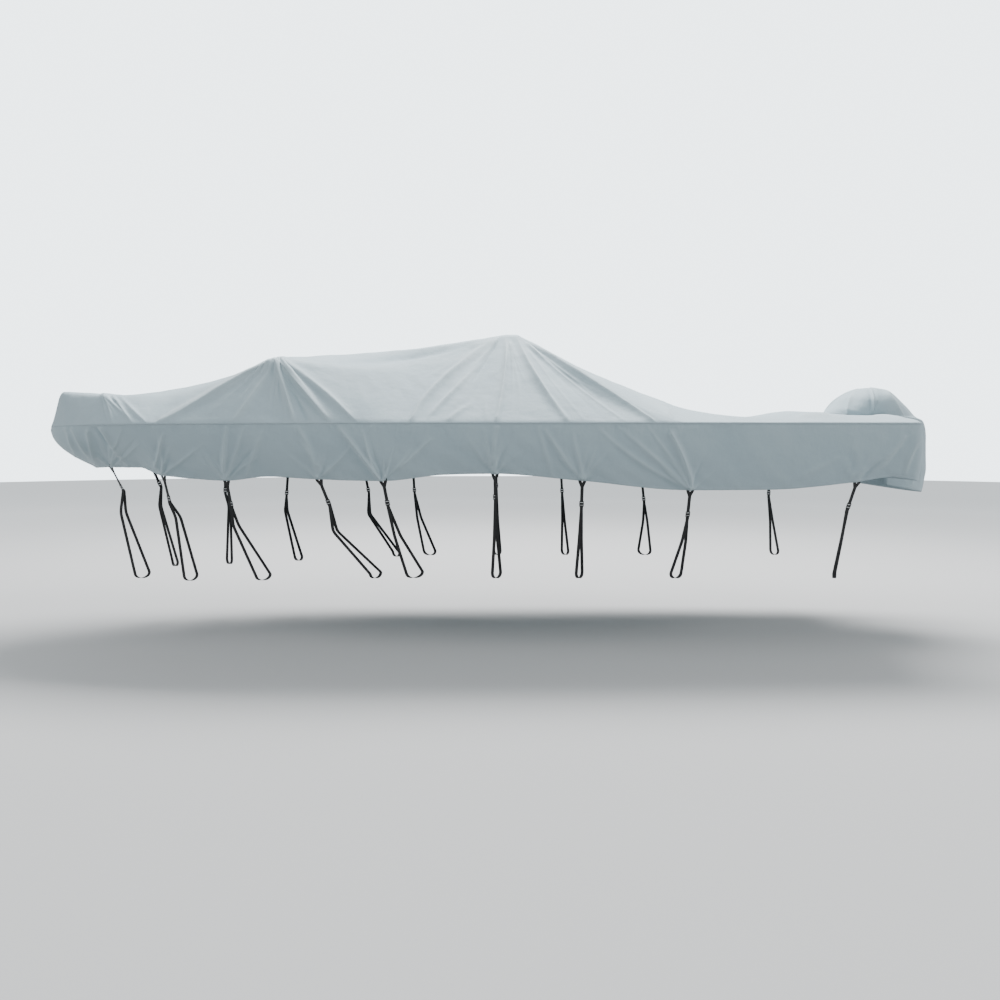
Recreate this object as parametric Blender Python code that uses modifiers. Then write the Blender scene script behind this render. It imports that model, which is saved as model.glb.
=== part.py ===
"""Fitted tie-down cover for a trailered V-hull boat with an outboard motor.

The cover is sewn from five cloth panels: a deck panel stretched over the bow rail, the windscreen
and a support pole, two side skirts that wrap round the bow and the transom corners, and a two-piece
motor hood. Webbing tabs are sewn into the hem, and each carries an adjuster buckle and a tie strap.

Metres, +Z up, +X towards the stern, port side at -Y. The origin is under the cloth at the top of
the support pole. Heights in the tables are above the gunwale seam, and x is measured from the pole.
"""

import math
from collections import namedtuple

import bmesh
import bpy
import numpy as np

# ---- Driving sizes ----
PEAK_HEIGHT = 0.863
CLOTH = 0.002
SEAM_GAP = 0.0003

# ---- Plan of the gunwale seam and of the hem ----
BOW_X = -4.33
TRANSOM_X = 3.32
MAX_HALF_BEAM = 1.17
BOW_ENTRY_LENGTH = 3.4
BOW_FULLNESS = 2.4
BOW_ROUNDNESS = 0.67
STERN_TAPER = 0.07
STERN_TAPER_START = 0.5
CORNER_RADIUS = 0.07
TRANSOM_CROWN = 0.08
BOW_EDGE_END = -4.225
HEM_BOW_X = -3.91
HEM_TUCK = 0.055
HEM_ENTRY_LENGTH = 3.2
HEM_TRANSOM_LEAN = 0.012
STEM_BULGE = 0.115
STEM_BULGE_LENGTH = 0.5
SIDE_BULGE = 0.018

# ---- Deck ----
SHOULDER_ROUNDING = 0.22
CREASE_SHARPNESS = 0.60
FOLD_SKEW = 1.5
NOTCH_FRONT_X = 2.963
NOTCH_SIDE_X = 3.235
NOTCH_FRONT_Z = 0.120
NOTCH_SIDE_Z = 0.082
STERN_EDGE_CURL = 0.6
STARBOARD_SHIFT = 0.045
STARBOARD_WAVE = 5.0
STARBOARD_FOLD = 0.30

# ---- Motor hood ----
HOOD_HALF_WIDTH = 0.33
HOOD_LIFT = CLOTH + 2.0 * SEAM_GAP
HOOD_BOXINESS = 0.80
HOOD_HEM_ARCH = 1.8

# ---- Webbing and buckles ----
WEBBING_WIDTH = 0.027
WEBBING_THICKNESS = 0.0025
TAB_TOP_WIDTH = 0.075
TAB_SEWN_LENGTH = 0.030
TAB_TAPER_LENGTH = 0.065
TAB_CLEARANCE = 0.00088
TAB_BELOW_HEM = 0.003
BUCKLE_LENGTH = 0.050
BUCKLE_WIDTH = 0.038
BUCKLE_THICKNESS = 0.009
BUCKLE_RAIL = 0.005
BUCKLE_BAR = 0.008
LEG_SPACING = 0.010
LEG_START = 0.015
BEAM_HALF_DEPTH = 0.045
KNEE_SPREAD = 0.35

# ---- Grid densities ----
DECK_ROWS_PER_SIDE = 11
NOTCH_ROWS = 4
SKIRT_ROWS = 6
HOOD_COLUMNS = 16
HOOD_STEPS = 2
BEAM_TURN_STEPS = 4

# One row for each line of tension in the deck cloth, from the bow to the stern. It runs from the
# ridge on the centreline over a shoulder to the gunwale seam, and on down the skirt to the hem.
# crease is 1 where the cloth breaks sharply over that line, fold raises the line, sag lowers the
# cloth between it and the next one, and steps is the number of grid columns up to the next one.
Rib = namedtuple(
    "Rib",
    "name ridge_x ridge_z shoulder_x shoulder_y shoulder_z seam_x hem_x crease fold sag steps",
)
RIBS = (
    Rib("bow_face", -4.300, 0.090, -4.258, 0.12, 0.090, -4.170, -3.800, 0.0, 0.000, 0.000, 2),
    Rib("rail_front", -4.238, 0.285, -4.205, 0.13, 0.283, -4.070, -3.720, 0.6, 0.000, 0.000, 1),
    Rib("rail_top", -4.196, 0.322, -4.140, 0.19, 0.316, -3.930, -3.640, 0.3, 0.000, 0.000, 2),
    Rib("rail_side", -3.990, 0.316, -3.880, 0.35, 0.292, -3.640, -3.470, 0.2, 0.000, 0.000, 2),
    Rib("rail_end", -3.800, 0.297, -3.640, 0.49, 0.258, -3.404, -3.300, 1.0, 0.012, 0.010, 2),
    Rib("rail_fan_1", -3.710, 0.288, -3.600, 0.50, 0.254, -3.205, -3.150, 1.0, 0.014, 0.012, 2),
    Rib("rail_fan_2", -3.600, 0.292, -3.555, 0.49, 0.252, -3.066, -3.040, 1.0, 0.012, 0.004, 2),
    Rib("foredeck", -3.050, 0.372, -3.020, 0.50, 0.272, -2.985, -2.985, 0.3, 0.000, 0.006, 3),
    Rib("screen_foot", -2.620, 0.484, -2.480, 0.62, 0.400, -2.945, -2.950, 0.3, 0.000, 0.004, 2),
    Rib("screen_fan_1", -2.420, 0.548, -2.066, 0.735, 0.545, -2.922, -2.900, 1.0, 0.008, 0.014, 2),
    Rib("screen_fan_2", -2.360, 0.585, -2.052, 0.742, 0.552, -2.560, -2.420, 0.7, 0.006, 0.014, 2),
    Rib("screen_fan_3", -2.300, 0.630, -2.038, 0.748, 0.557, -2.279, -2.340, 1.0, 0.012, 0.010, 3),
    Rib("screen_fan_4", -2.180, 0.655, -2.012, 0.755, 0.559, -1.753, -1.620, 1.0, 0.012, 0.016, 2),
    Rib("screen_fan_5", -2.060, 0.655, -1.985, 0.765, 0.552, -1.461, -1.120, 1.0, 0.022, 0.016, 2),
    Rib("screen_fan_6", -1.950, 0.655, -1.965, 0.775, 0.545, -1.262, -1.070, 1.0, 0.010, 0.012, 4),
    Rib("side_panel", -1.050, 0.718, -1.000, 0.480, 0.500, -1.000, -1.030, 0.0, 0.000, 0.004, 2),
    Rib("pole_fan_1", -0.500, 0.794, -0.600, 0.520, 0.450, -0.812, -0.985, 0.6, 0.010, 0.010, 2),
    Rib("pole_fan_2", -0.170, 0.846, -0.330, 0.560, 0.436, -0.541, -0.860, 0.6, 0.006, 0.008, 2),
    Rib("pole_fan_3", -0.050, 0.864, -0.100, 0.585, 0.430, -0.142, -0.150, 0.8, 0.010, 0.012, 3),
    Rib("pole_fan_4", 0.050, 0.862, 0.225, 0.585, 0.434, 0.441, 0.520, 1.0, 0.014, 0.012, 2),
    Rib("pole_fan_5", 0.075, 0.848, 0.500, 0.590, 0.398, 1.000, 1.250, 0.4, -0.012, 0.004, 1),
    Rib("pole_fan_6", 0.110, 0.828, 0.610, 0.575, 0.444, 1.185, 1.405, 1.0, 0.019, 0.010, 2),
    Rib("stern_fall", 0.640, 0.556, 0.960, 0.560, 0.286, 1.330, 1.455, 0.0, 0.000, 0.010, 2),
    Rib("stern_dip", 1.240, 0.296, 1.330, 0.600, 0.130, 1.500, 1.540, 0.0, 0.000, 0.006, 2),
    Rib("stern_deck", 1.760, 0.134, 1.780, 0.640, 0.086, 1.820, 1.820, 0.0, 0.000, 0.004, 2),
    Rib("stern_flat", 2.160, 0.086, 2.160, 0.760, 0.060, 2.160, 2.160, 0.0, 0.000, 0.000, 2),
    Rib("stern_hump", 2.560, 0.140, 2.580, 0.780, 0.092, 2.600, 2.600, 0.0, 0.000, 0.000, 2),
    Rib("hood_foot", 2.860, 0.124, 2.960, 0.700, 0.075, 3.050, 3.050, 0.0, 0.000, 0.000, 5),
)

# How far the hem hangs below the gunwale seam along each side: pulled down at the tie straps.
HemPoint = namedtuple("HemPoint", "x drop")
HEM = (
    HemPoint(-3.91, 0.385),
    HemPoint(-3.40, 0.375),
    HemPoint(-3.22, 0.375),
    HemPoint(-2.98, 0.438),
    HemPoint(-2.37, 0.473),
    HemPoint(-2.00, 0.439),
    HemPoint(-1.58, 0.458),
    HemPoint(-1.05, 0.471),
    HemPoint(-0.57, 0.421),
    HemPoint(-0.15, 0.413),
    HemPoint(0.55, 0.469),
    HemPoint(1.43, 0.546),
    HemPoint(2.07, 0.543),
    HemPoint(2.80, 0.480),
    HemPoint(3.08, 0.443),
    HemPoint(3.32, 0.473),
)

# The motor hood as hoops over the motor. Each starts and ends at its side height, HOOD_HALF_WIDTH
# from the centreline, and passes over its crown. The front ones share the foot of the crown seam.
Hoop = namedtuple("Hoop", "name side_x side_z crown_x crown_z")
CROWN_SEAM = Hoop("crown_seam", NOTCH_SIDE_X, NOTCH_SIDE_Z + HOOD_LIFT, 3.400, 0.364)
HOOD_FRONT = (
    CROWN_SEAM,
    Hoop("front_top", NOTCH_SIDE_X, NOTCH_SIDE_Z + HOOD_LIFT, 3.287, 0.354),
    Hoop("front_brow", NOTCH_SIDE_X, NOTCH_SIDE_Z + HOOD_LIFT, 3.136, 0.278),
    Hoop("front_fall", NOTCH_SIDE_X, NOTCH_SIDE_Z + HOOD_LIFT, 3.020, 0.178),
    Hoop("front_foot", NOTCH_SIDE_X, NOTCH_SIDE_Z + HOOD_LIFT, 2.955, NOTCH_FRONT_Z + HOOD_LIFT),
)
HOOD_REAR = (
    CROWN_SEAM,
    Hoop("rear_top", 3.275, NOTCH_SIDE_Z + HOOD_LIFT, 3.505, 0.344),
    Hoop("rear_brow", 3.315, NOTCH_SIDE_Z + HOOD_LIFT, 3.635, 0.240),
    Hoop("rear_fall", 3.360, NOTCH_SIDE_Z + HOOD_LIFT, 3.770, 0.088),
    Hoop("rear_corner", 3.3945, NOTCH_SIDE_Z + HOOD_LIFT, 3.850, 0.036),
    Hoop("rear_cowl", 3.3945, -0.080, 3.880, -0.130),
    Hoop("rear_back", 3.3945, -0.300, 3.880, -0.380),
    Hoop("rear_hem", 3.3945, -0.540, 3.835, -0.617),
)

# Tie straps on each side, from the bow. Heights are above the gunwale seam. A strap runs from its
# buckle past a knee, where its two legs part, and turns under the trailer beam at its foot.
Tie = namedtuple("Tie", "name hem_x buckle_x buckle_drop knee_x knee_z foot_x foot_y foot_z splay")
TIES = (
    Tie("bow", -3.590, -3.500, 0.180, -3.490, -0.780, -3.330, 0.36, -1.330, 0.090),
    Tie("fore", -2.975, -2.950, 0.200, -2.890, -0.800, -2.840, 0.50, -1.330, 0.080),
    Tie("screen_fore", -2.370, -2.360, 0.200, -2.345, -0.860, -2.170, 0.60, -1.310, 0.100),
    Tie("screen_aft", -1.575, -1.520, 0.190, -1.490, -0.900, -1.180, 0.68, -1.280, 0.080),
    Tie("cabin", -1.052, -1.030, 0.180, -0.965, -0.940, -0.840, 0.72, -1.270, 0.130),
    Tie("pole", -0.150, -0.148, 0.190, -0.145, -0.960, -0.140, 0.74, -1.270, 0.070),
    Tie("cockpit", 0.553, 0.556, 0.190, 0.560, -0.960, 0.565, 0.74, -1.270, 0.060),
    Tie("stern", 1.427, 1.430, 0.200, 1.425, -0.980, 1.390, 0.74, -1.270, 0.110),
    Tie("transom", 2.793, 2.760, 0.200, 2.750, -0.980, 2.740, 0.74, -1.270, 0.050),
)

SIDES = (("port", -1.0), ("starboard", 1.0))

# ---- Colours, linear ----
CLOTH_COLOUR = (0.42, 0.48, 0.51, 1.0)
WEBBING_COLOUR = (0.018, 0.018, 0.020, 1.0)
BUCKLE_COLOUR = (0.030, 0.030, 0.032, 1.0)
CLOTH_ROUGHNESS = 0.75
WEBBING_ROUGHNESS = 0.85
BUCKLE_ROUGHNESS = 0.40


# ---- Curves ----
def smooth_step(value):
    """0 below zero, 1 above one and a smooth rise between them."""
    value = np.clip(value, 0.0, 1.0)
    return value * value * (3.0 - 2.0 * value)


def smooth_between(x, stops, values):
    """A smooth curve through a short table, which never overshoots its rows."""
    stops = np.asarray(stops, float)
    values = np.asarray(values, float)
    slope = np.diff(values) / np.diff(stops)
    same_way = slope[:-1] * slope[1:] > 0.0
    total = np.where(same_way, slope[:-1] + slope[1:], 1.0)
    tangent = np.empty(len(stops))
    tangent[1:-1] = np.where(same_way, 2.0 * slope[:-1] * slope[1:] / total, 0.0)
    tangent[0] = slope[0]
    tangent[-1] = slope[-1]
    x = np.clip(np.asarray(x, float), stops[0], stops[-1])
    left = np.clip(np.searchsorted(stops, x, side="right") - 1, 0, len(stops) - 2)
    width = stops[left + 1] - stops[left]
    at = (x - stops[left]) / width
    return (
        (1 + 2 * at) * (1 - at) ** 2 * values[left]
        + at * (1 - at) ** 2 * width * tangent[left]
        + at**2 * (3 - 2 * at) * values[left + 1]
        + at**2 * (at - 1) * width * tangent[left + 1]
    )


def catmull_rom(before, start, end, after, at):
    """The smooth curve from start to end, shaped by its neighbours."""
    return 0.5 * (
        2.0 * start
        + (end - before) * at
        + (2.0 * before - 5.0 * start + 4.0 * end - after) * at**2
        + (3.0 * start - before - 3.0 * end + after) * at**3
    )


def unit(vector):
    return vector / np.linalg.norm(vector)


# ---- Plan of the cover ----
def side_plan(x, start, entry_length, half_width):
    """Half the width at x: a rounded bow entry, parallel sides, a slight taper and a round corner."""
    share = np.clip((x - start) / entry_length, 0.0, 1.0)
    bow = (1.0 - (1.0 - share) ** BOW_FULLNESS) ** BOW_ROUNDNESS
    aft = (x - STERN_TAPER_START) / (TRANSOM_X - STERN_TAPER_START)
    taper = STERN_TAPER * smooth_step(aft)
    turn = np.clip((x - TRANSOM_X) / CORNER_RADIUS + 1.0, 0.0, 1.0)
    corner = CORNER_RADIUS * (1.0 - np.sqrt(1.0 - turn**2))
    return half_width * bow - taper - corner


def seam_half_beam(x):
    return side_plan(x, BOW_X, BOW_ENTRY_LENGTH, MAX_HALF_BEAM)


def hem_half_beam(x):
    return side_plan(x, HEM_BOW_X, HEM_ENTRY_LENGTH, MAX_HALF_BEAM - HEM_TUCK)


def hem_drop(x):
    return smooth_between(x, [row.x for row in HEM], [row.drop for row in HEM])


def transom_x(y):
    """The transom seam, crowned aft between its two corners."""
    share = np.clip(np.abs(y) / seam_half_beam(TRANSOM_X), 0.0, 1.0)
    return TRANSOM_X + TRANSOM_CROWN * (1.0 - share**2)


# ---- Deck panel ----
def soft_ramp(value, rounding):
    """0 below zero and the value itself above it, with a rounded corner, and exactly 1 at 1."""

    def rounded(x):
        return 0.5 * (x + np.sqrt(x * x + rounding**2))

    return (rounded(value) - rounded(-1.0)) / (rounded(1.0) - rounded(-1.0))


def over_shoulder(ridge, shoulder, seam, across, rounding):
    """Points from the ridge (across 0) over the shoulder (0.5) to the seam (1)."""
    inner = soft_ramp(1.0 - 2.0 * across, rounding)[:, None]
    outer = soft_ramp(2.0 * across - 1.0, rounding)[:, None]
    return shoulder + (ridge - shoulder) * inner + (seam - shoulder) * outer


def fold_spread(across):
    """Folds start at the ridge, are fullest past the shoulder and flatten out at the seam."""
    return np.sin(math.pi * across**FOLD_SKEW)


def rib_points(number, across, side):
    """One rib on one side of the deck. The starboard folds lie a little apart from the port ones."""
    rib = RIBS[number]
    starboard = 1.0 if side > 0.0 else 0.0
    in_the_middle = smooth_step(rib.seam_x + 3.6) * smooth_step(2.6 - rib.seam_x)
    wander = math.sin(STARBOARD_WAVE * rib.seam_x) * in_the_middle
    fold = rib.fold * (1.0 + starboard * STARBOARD_FOLD * math.sin(1.7 * number))
    seam_x = rib.seam_x + starboard * STARBOARD_SHIFT * wander
    ridge = np.array([rib.ridge_x, 0.0, rib.ridge_z])
    shoulder = np.array([rib.shoulder_x, rib.shoulder_y, rib.shoulder_z])
    seam = np.array([seam_x, seam_half_beam(seam_x), 0.0])
    rounding = SHOULDER_ROUNDING * (1.0 - CREASE_SHARPNESS * rib.crease)
    points = over_shoulder(ridge, shoulder, seam, across, rounding)
    points[:, 2] += fold * fold_spread(across)
    return points


def bow_edge(across):
    """The seam round the bow, from the stem to the first columns of the deck."""
    x = np.linspace(BOW_X, BOW_EDGE_END, 200)
    y = seam_half_beam(BOW_EDGE_END) * across
    return np.stack([np.interp(y, seam_half_beam(x), x), y, np.zeros_like(y)], axis=1)


def stern_edge(across):
    """The deck's aft edge: round the hood, aft along its side, then on the transom to the corner."""
    rows = DECK_ROWS_PER_SIDE
    round_hood = NOTCH_ROWS / rows
    along_hood = (NOTCH_ROWS + 1) / rows
    turn = np.clip(across / round_hood, 0.0, 1.0) * math.pi / 2
    on_transom = np.clip((across - along_hood) / (1.0 - along_hood), 0.0, 1.0)
    aft = np.clip((across - round_hood) / (along_hood - round_hood), 0.0, 1.0)
    half = seam_half_beam(TRANSOM_X)
    notch_x = NOTCH_SIDE_X - (NOTCH_SIDE_X - NOTCH_FRONT_X) * np.cos(turn)
    transom_y = HOOD_HALF_WIDTH + (half - HOOD_HALF_WIDTH) * on_transom
    y = np.where(across < round_hood, HOOD_HALF_WIDTH * np.sin(turn), transom_y)
    beside = notch_x + (transom_x(HOOD_HALF_WIDTH) - notch_x) * aft
    x = np.where(across < along_hood, beside, transom_x(y))
    notch_z = NOTCH_SIDE_Z + (NOTCH_FRONT_Z - NOTCH_SIDE_Z) * np.cos(turn) ** 2
    z = np.where(across < round_hood, notch_z, NOTCH_SIDE_Z * (1.0 - on_transom) ** STERN_EDGE_CURL)
    return np.stack([x, y, z], axis=1)


def deck_columns(side, across):
    """Every column of one side of the deck, and each column's x at the hem."""
    edge = stern_edge(across)
    ribs = [rib_points(number, across, side) for number in range(len(RIBS))]
    lines = [bow_edge(across)] + ribs + [edge, edge]
    columns = [lines[0]]
    hem_x = [HEM_BOW_X]
    for number, rib in enumerate(RIBS):
        last = number == len(RIBS) - 1
        before, start, end, after = lines[number : number + 4]
        next_crease = 0.0 if last else RIBS[number + 1].crease
        next_hem = TRANSOM_X if last else RIBS[number + 1].hem_x
        for step in range(rib.steps):
            at = step / rib.steps
            crease = (1.0 - at) * rib.crease + at * next_crease
            straight = (1.0 - at) * start + at * end
            points = crease * straight + (1.0 - crease) * catmull_rom(before, start, end, after, at)
            points[:, 2] -= rib.sag * 4.0 * at * (1.0 - at) * fold_spread(across)
            along = 1.0 - (1.0 - at) ** 2 if last else at
            if last:
                points[-1, 0] = start[-1, 0] + (TRANSOM_X - start[-1, 0]) * along
            points[-1, 1] = seam_half_beam(points[-1, 0])
            points[-1, 2] = 0.0
            columns.append(points)
            hem_x.append((1.0 - along) * rib.hem_x + along * next_hem)
    columns.append(edge)
    hem_x.append(TRANSOM_X)
    columns = np.array(columns)
    columns[:, :, 1] *= side
    return columns, np.array(hem_x)


def deck_grid():
    """The deck's inner face, as rows from the port seam over the ridge to the starboard seam."""
    across = np.linspace(0.0, 1.0, DECK_ROWS_PER_SIDE + 1)
    port, _ = deck_columns(-1.0, across)
    starboard, _ = deck_columns(1.0, across)
    return np.concatenate([port[:, ::-1], starboard[:, 1:]], axis=1)


# ---- Side skirts ----
def skirt_grid(side):
    """A skirt's inner face: columns from the stem round the corner to the motor hood."""
    across = np.linspace(0.0, 1.0, DECK_ROWS_PER_SIDE + 1)
    columns, hem_x = deck_columns(side, across)
    bow = columns[0][:-1]
    bow_hem = np.linspace(HEM_BOW_X, hem_x[1], len(bow) + 2)[:-1]
    hem_x = np.concatenate([bow_hem, hem_x[1:]])
    side_hem = np.stack([hem_x, side * hem_half_beam(hem_x), -hem_drop(hem_x)], axis=1)

    around = columns[-1][NOTCH_ROWS + 1 : -1][::-1]
    around[-1, 1] = side * (HOOD_HALF_WIDTH + CLOTH + 2.0 * SEAM_GAP)
    inner_y = abs(around[-1, 1])
    corner_y = seam_half_beam(TRANSOM_X)
    hem_share = (hem_half_beam(TRANSOM_X) - inner_y) / (corner_y - inner_y)
    around_hem = around.copy()
    around_hem[:, 0] -= HEM_TRANSOM_LEAN
    around_hem[:, 1] = side * (inner_y + (np.abs(around[:, 1]) - inner_y) * hem_share)
    around_hem[:, 2] = -hem_drop(TRANSOM_X)

    top = np.concatenate([bow, columns[:, -1], around])
    bottom = np.concatenate([side_hem, around_hem])
    top[:, 2] -= SEAM_GAP
    along = np.gradient(top[:, :2], axis=0)
    outward = side * np.stack([-along[:, 1], along[:, 0]], axis=1)
    outward /= np.linalg.norm(outward, axis=1)[:, None]
    at_the_stem = 1.0 - smooth_step((bottom[:, 0] - HEM_BOW_X) / STEM_BULGE_LENGTH)
    bulge = SIDE_BULGE + (STEM_BULGE - SIDE_BULGE) * at_the_stem
    bulge[-len(around) :] *= np.linspace(1.0, 0.0, len(around))
    grid = np.empty((len(top), SKIRT_ROWS + 1, 3))
    for row, down in enumerate(np.linspace(0.0, 1.0, SKIRT_ROWS + 1)):
        grid[:, row] = top + (bottom - top) * down
        grid[:, row, :2] += outward * (bulge * 4.0 * down * (1.0 - down))[:, None]
    grid[0, :, 1] = side * SEAM_GAP / 2.0
    return grid


# ---- Motor hood ----
def hoop_points(hoop, turn, on_notch):
    """Points from the port foot of a hoop over its crown to the starboard foot.

    on_notch is 1 for a hoop that lies on the edge of the deck's notch, corner for corner.
    """
    notch = np.linspace(0.0, math.pi / 2, NOTCH_ROWS + 1)
    arch = np.abs(np.cos(turn)) ** HOOD_BOXINESS
    forward, upward, outward = [
        (1.0 - on_notch) * free + on_notch * np.interp(np.abs(turn), notch, edge)
        for free, edge in (
            (arch, np.cos(notch)),
            (arch, np.cos(notch) ** HOOD_HEM_ARCH),
            (np.abs(np.sin(turn)), np.sin(notch)),
        )
    ]
    x = hoop.side_x + (hoop.crown_x - hoop.side_x) * forward
    z = hoop.side_z + (hoop.crown_z - hoop.side_z) * upward
    return np.stack([x, HOOD_HALF_WIDTH * np.sign(turn) * outward, z], axis=1)


def hood_grid(hoops, shift):
    """Half of the hood: its hoops with smooth ones between them, moved off the crown seam."""
    turn = np.linspace(-math.pi / 2, math.pi / 2, HOOD_COLUMNS + 1)
    stops = np.arange(len(hoops))
    rows = np.linspace(0, len(hoops) - 1, (len(hoops) - 1) * HOOD_STEPS + 1)
    sizes = [smooth_between(rows, stops, [hoop[i] for hoop in hoops]) for i in range(1, 5)]
    on_notch = smooth_step(rows - stops[-2]) * (hoops is HOOD_FRONT)
    grid = np.array(
        [hoop_points(Hoop("between", *row[:4]), turn, row[4]) for row in zip(*sizes, on_notch)]
    )
    grid[:, :, 0] += shift
    return grid


# ---- Materials and objects ----
def material_of(name, colour, roughness):
    material = bpy.data.materials.new(name)
    material.use_nodes = True
    shader = material.node_tree.nodes["Principled BSDF"]
    shader.inputs["Base Color"].default_value = colour
    shader.inputs["Roughness"].default_value = roughness
    shader.inputs["Metallic"].default_value = 0.0
    material.diffuse_color = colour
    return material


def add_object(name, mesh, material, collection):
    item = bpy.data.objects.new(name, mesh)
    item.data.materials.append(material)
    collection.objects.link(item)
    return item


def cloth_panel(name, grid, collection):
    """A cloth sheet: a grid shaped to the points of its inner face and thickened outwards."""
    columns, rows = grid.shape[:2]
    shape = bmesh.new()
    bmesh.ops.create_grid(shape, x_segments=columns - 1, y_segments=rows - 1, size=1.0)
    for vertex in shape.verts:
        column = round((vertex.co.x + 1.0) / 2.0 * (columns - 1))
        row = round((vertex.co.y + 1.0) / 2.0 * (rows - 1))
        vertex.co = grid[column, row]
        vertex.co.z -= PEAK_HEIGHT
    bmesh.ops.remove_doubles(shape, verts=shape.verts, dist=1e-5)
    mesh = bpy.data.meshes.new(name)
    shape.to_mesh(mesh)
    shape.free()
    mesh.shade_smooth()
    item = add_object(name, mesh, material_of(name, CLOTH_COLOUR, CLOTH_ROUGHNESS), collection)
    wall = item.modifiers.new("Cloth thickness", "SOLIDIFY")
    wall.thickness = CLOTH
    wall.offset = 1.0
    return item


def webbing(name, path, across, widths, collection):
    """A flat band swept along a path, its width held along the given directions."""
    tangent = np.gradient(path, axis=0)
    tangent /= np.linalg.norm(tangent, axis=1)[:, None]
    across = across - tangent * np.sum(across * tangent, axis=1)[:, None]
    across /= np.linalg.norm(across, axis=1)[:, None]
    face = np.cross(tangent, across)
    shape = bmesh.new()
    rings = []
    for point, sideways, out, width in zip(path, across, face, widths):
        ring = []
        for a, b in ((-1, -1), (1, -1), (1, 1), (-1, 1)):
            corner = point + sideways * (a * width / 2) + out * (b * WEBBING_THICKNESS / 2)
            ring.append(shape.verts.new(corner - np.array([0.0, 0.0, PEAK_HEIGHT])))
        rings.append(ring)
    for one, two in zip(rings, rings[1:]):
        for i in range(4):
            shape.faces.new((one[i], one[i - 1], two[i - 1], two[i]))
    shape.faces.new(rings[0])
    shape.faces.new(rings[-1][::-1])
    bmesh.ops.recalc_face_normals(shape, faces=shape.faces)
    mesh = bpy.data.meshes.new(name)
    shape.to_mesh(mesh)
    shape.free()
    return add_object(name, mesh, material_of(name, WEBBING_COLOUR, WEBBING_ROUGHNESS), collection)


def buckle(name, centre, down, sideways, collection):
    """A two-slot adjuster: a flat frame with a bar at each end and one across its middle."""
    half_width = BUCKLE_WIDTH / 2
    half_length = BUCKLE_LENGTH / 2
    x_stops = (-half_width, -half_width + BUCKLE_RAIL, half_width - BUCKLE_RAIL, half_width)
    y_stops = (
        -half_length,
        -half_length + BUCKLE_BAR,
        -BUCKLE_BAR / 2,
        BUCKLE_BAR / 2,
        half_length - BUCKLE_BAR,
        half_length,
    )
    slots = ((1, 1), (1, 3))
    origin = centre - np.array([0.0, 0.0, PEAK_HEIGHT])
    shape = bmesh.new()
    corners = [[shape.verts.new(origin + sideways * x + down * y) for y in y_stops] for x in x_stops]
    for i in range(len(x_stops) - 1):
        for j in range(len(y_stops) - 1):
            if (i, j) not in slots:
                square = (corners[i][j], corners[i + 1][j], corners[i + 1][j + 1], corners[i][j + 1])
                shape.faces.new(square)
    mesh = bpy.data.meshes.new(name)
    shape.to_mesh(mesh)
    shape.free()
    item = add_object(name, mesh, material_of(name, BUCKLE_COLOUR, BUCKLE_ROUGHNESS), collection)
    wall = item.modifiers.new("Frame thickness", "SOLIDIFY")
    wall.thickness = BUCKLE_THICKNESS
    wall.offset = 0.0
    return item


# ---- Tie straps ----
def across_skirt(skirt, x, half_width, above):
    """The chord of the skirt's inner face at x, above the hem: (its middle, its direction)."""
    ends = []
    for place in (x - half_width, x + half_width):
        hem, higher = [
            np.array([np.interp(place, skirt[:, row, 0], skirt[:, row, axis]) for axis in range(3)])
            for row in (-1, -2)
        ]
        ends.append(hem + unit(higher - hem) * above)
    return (ends[0] + ends[1]) / 2, unit(ends[1] - ends[0])


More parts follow.
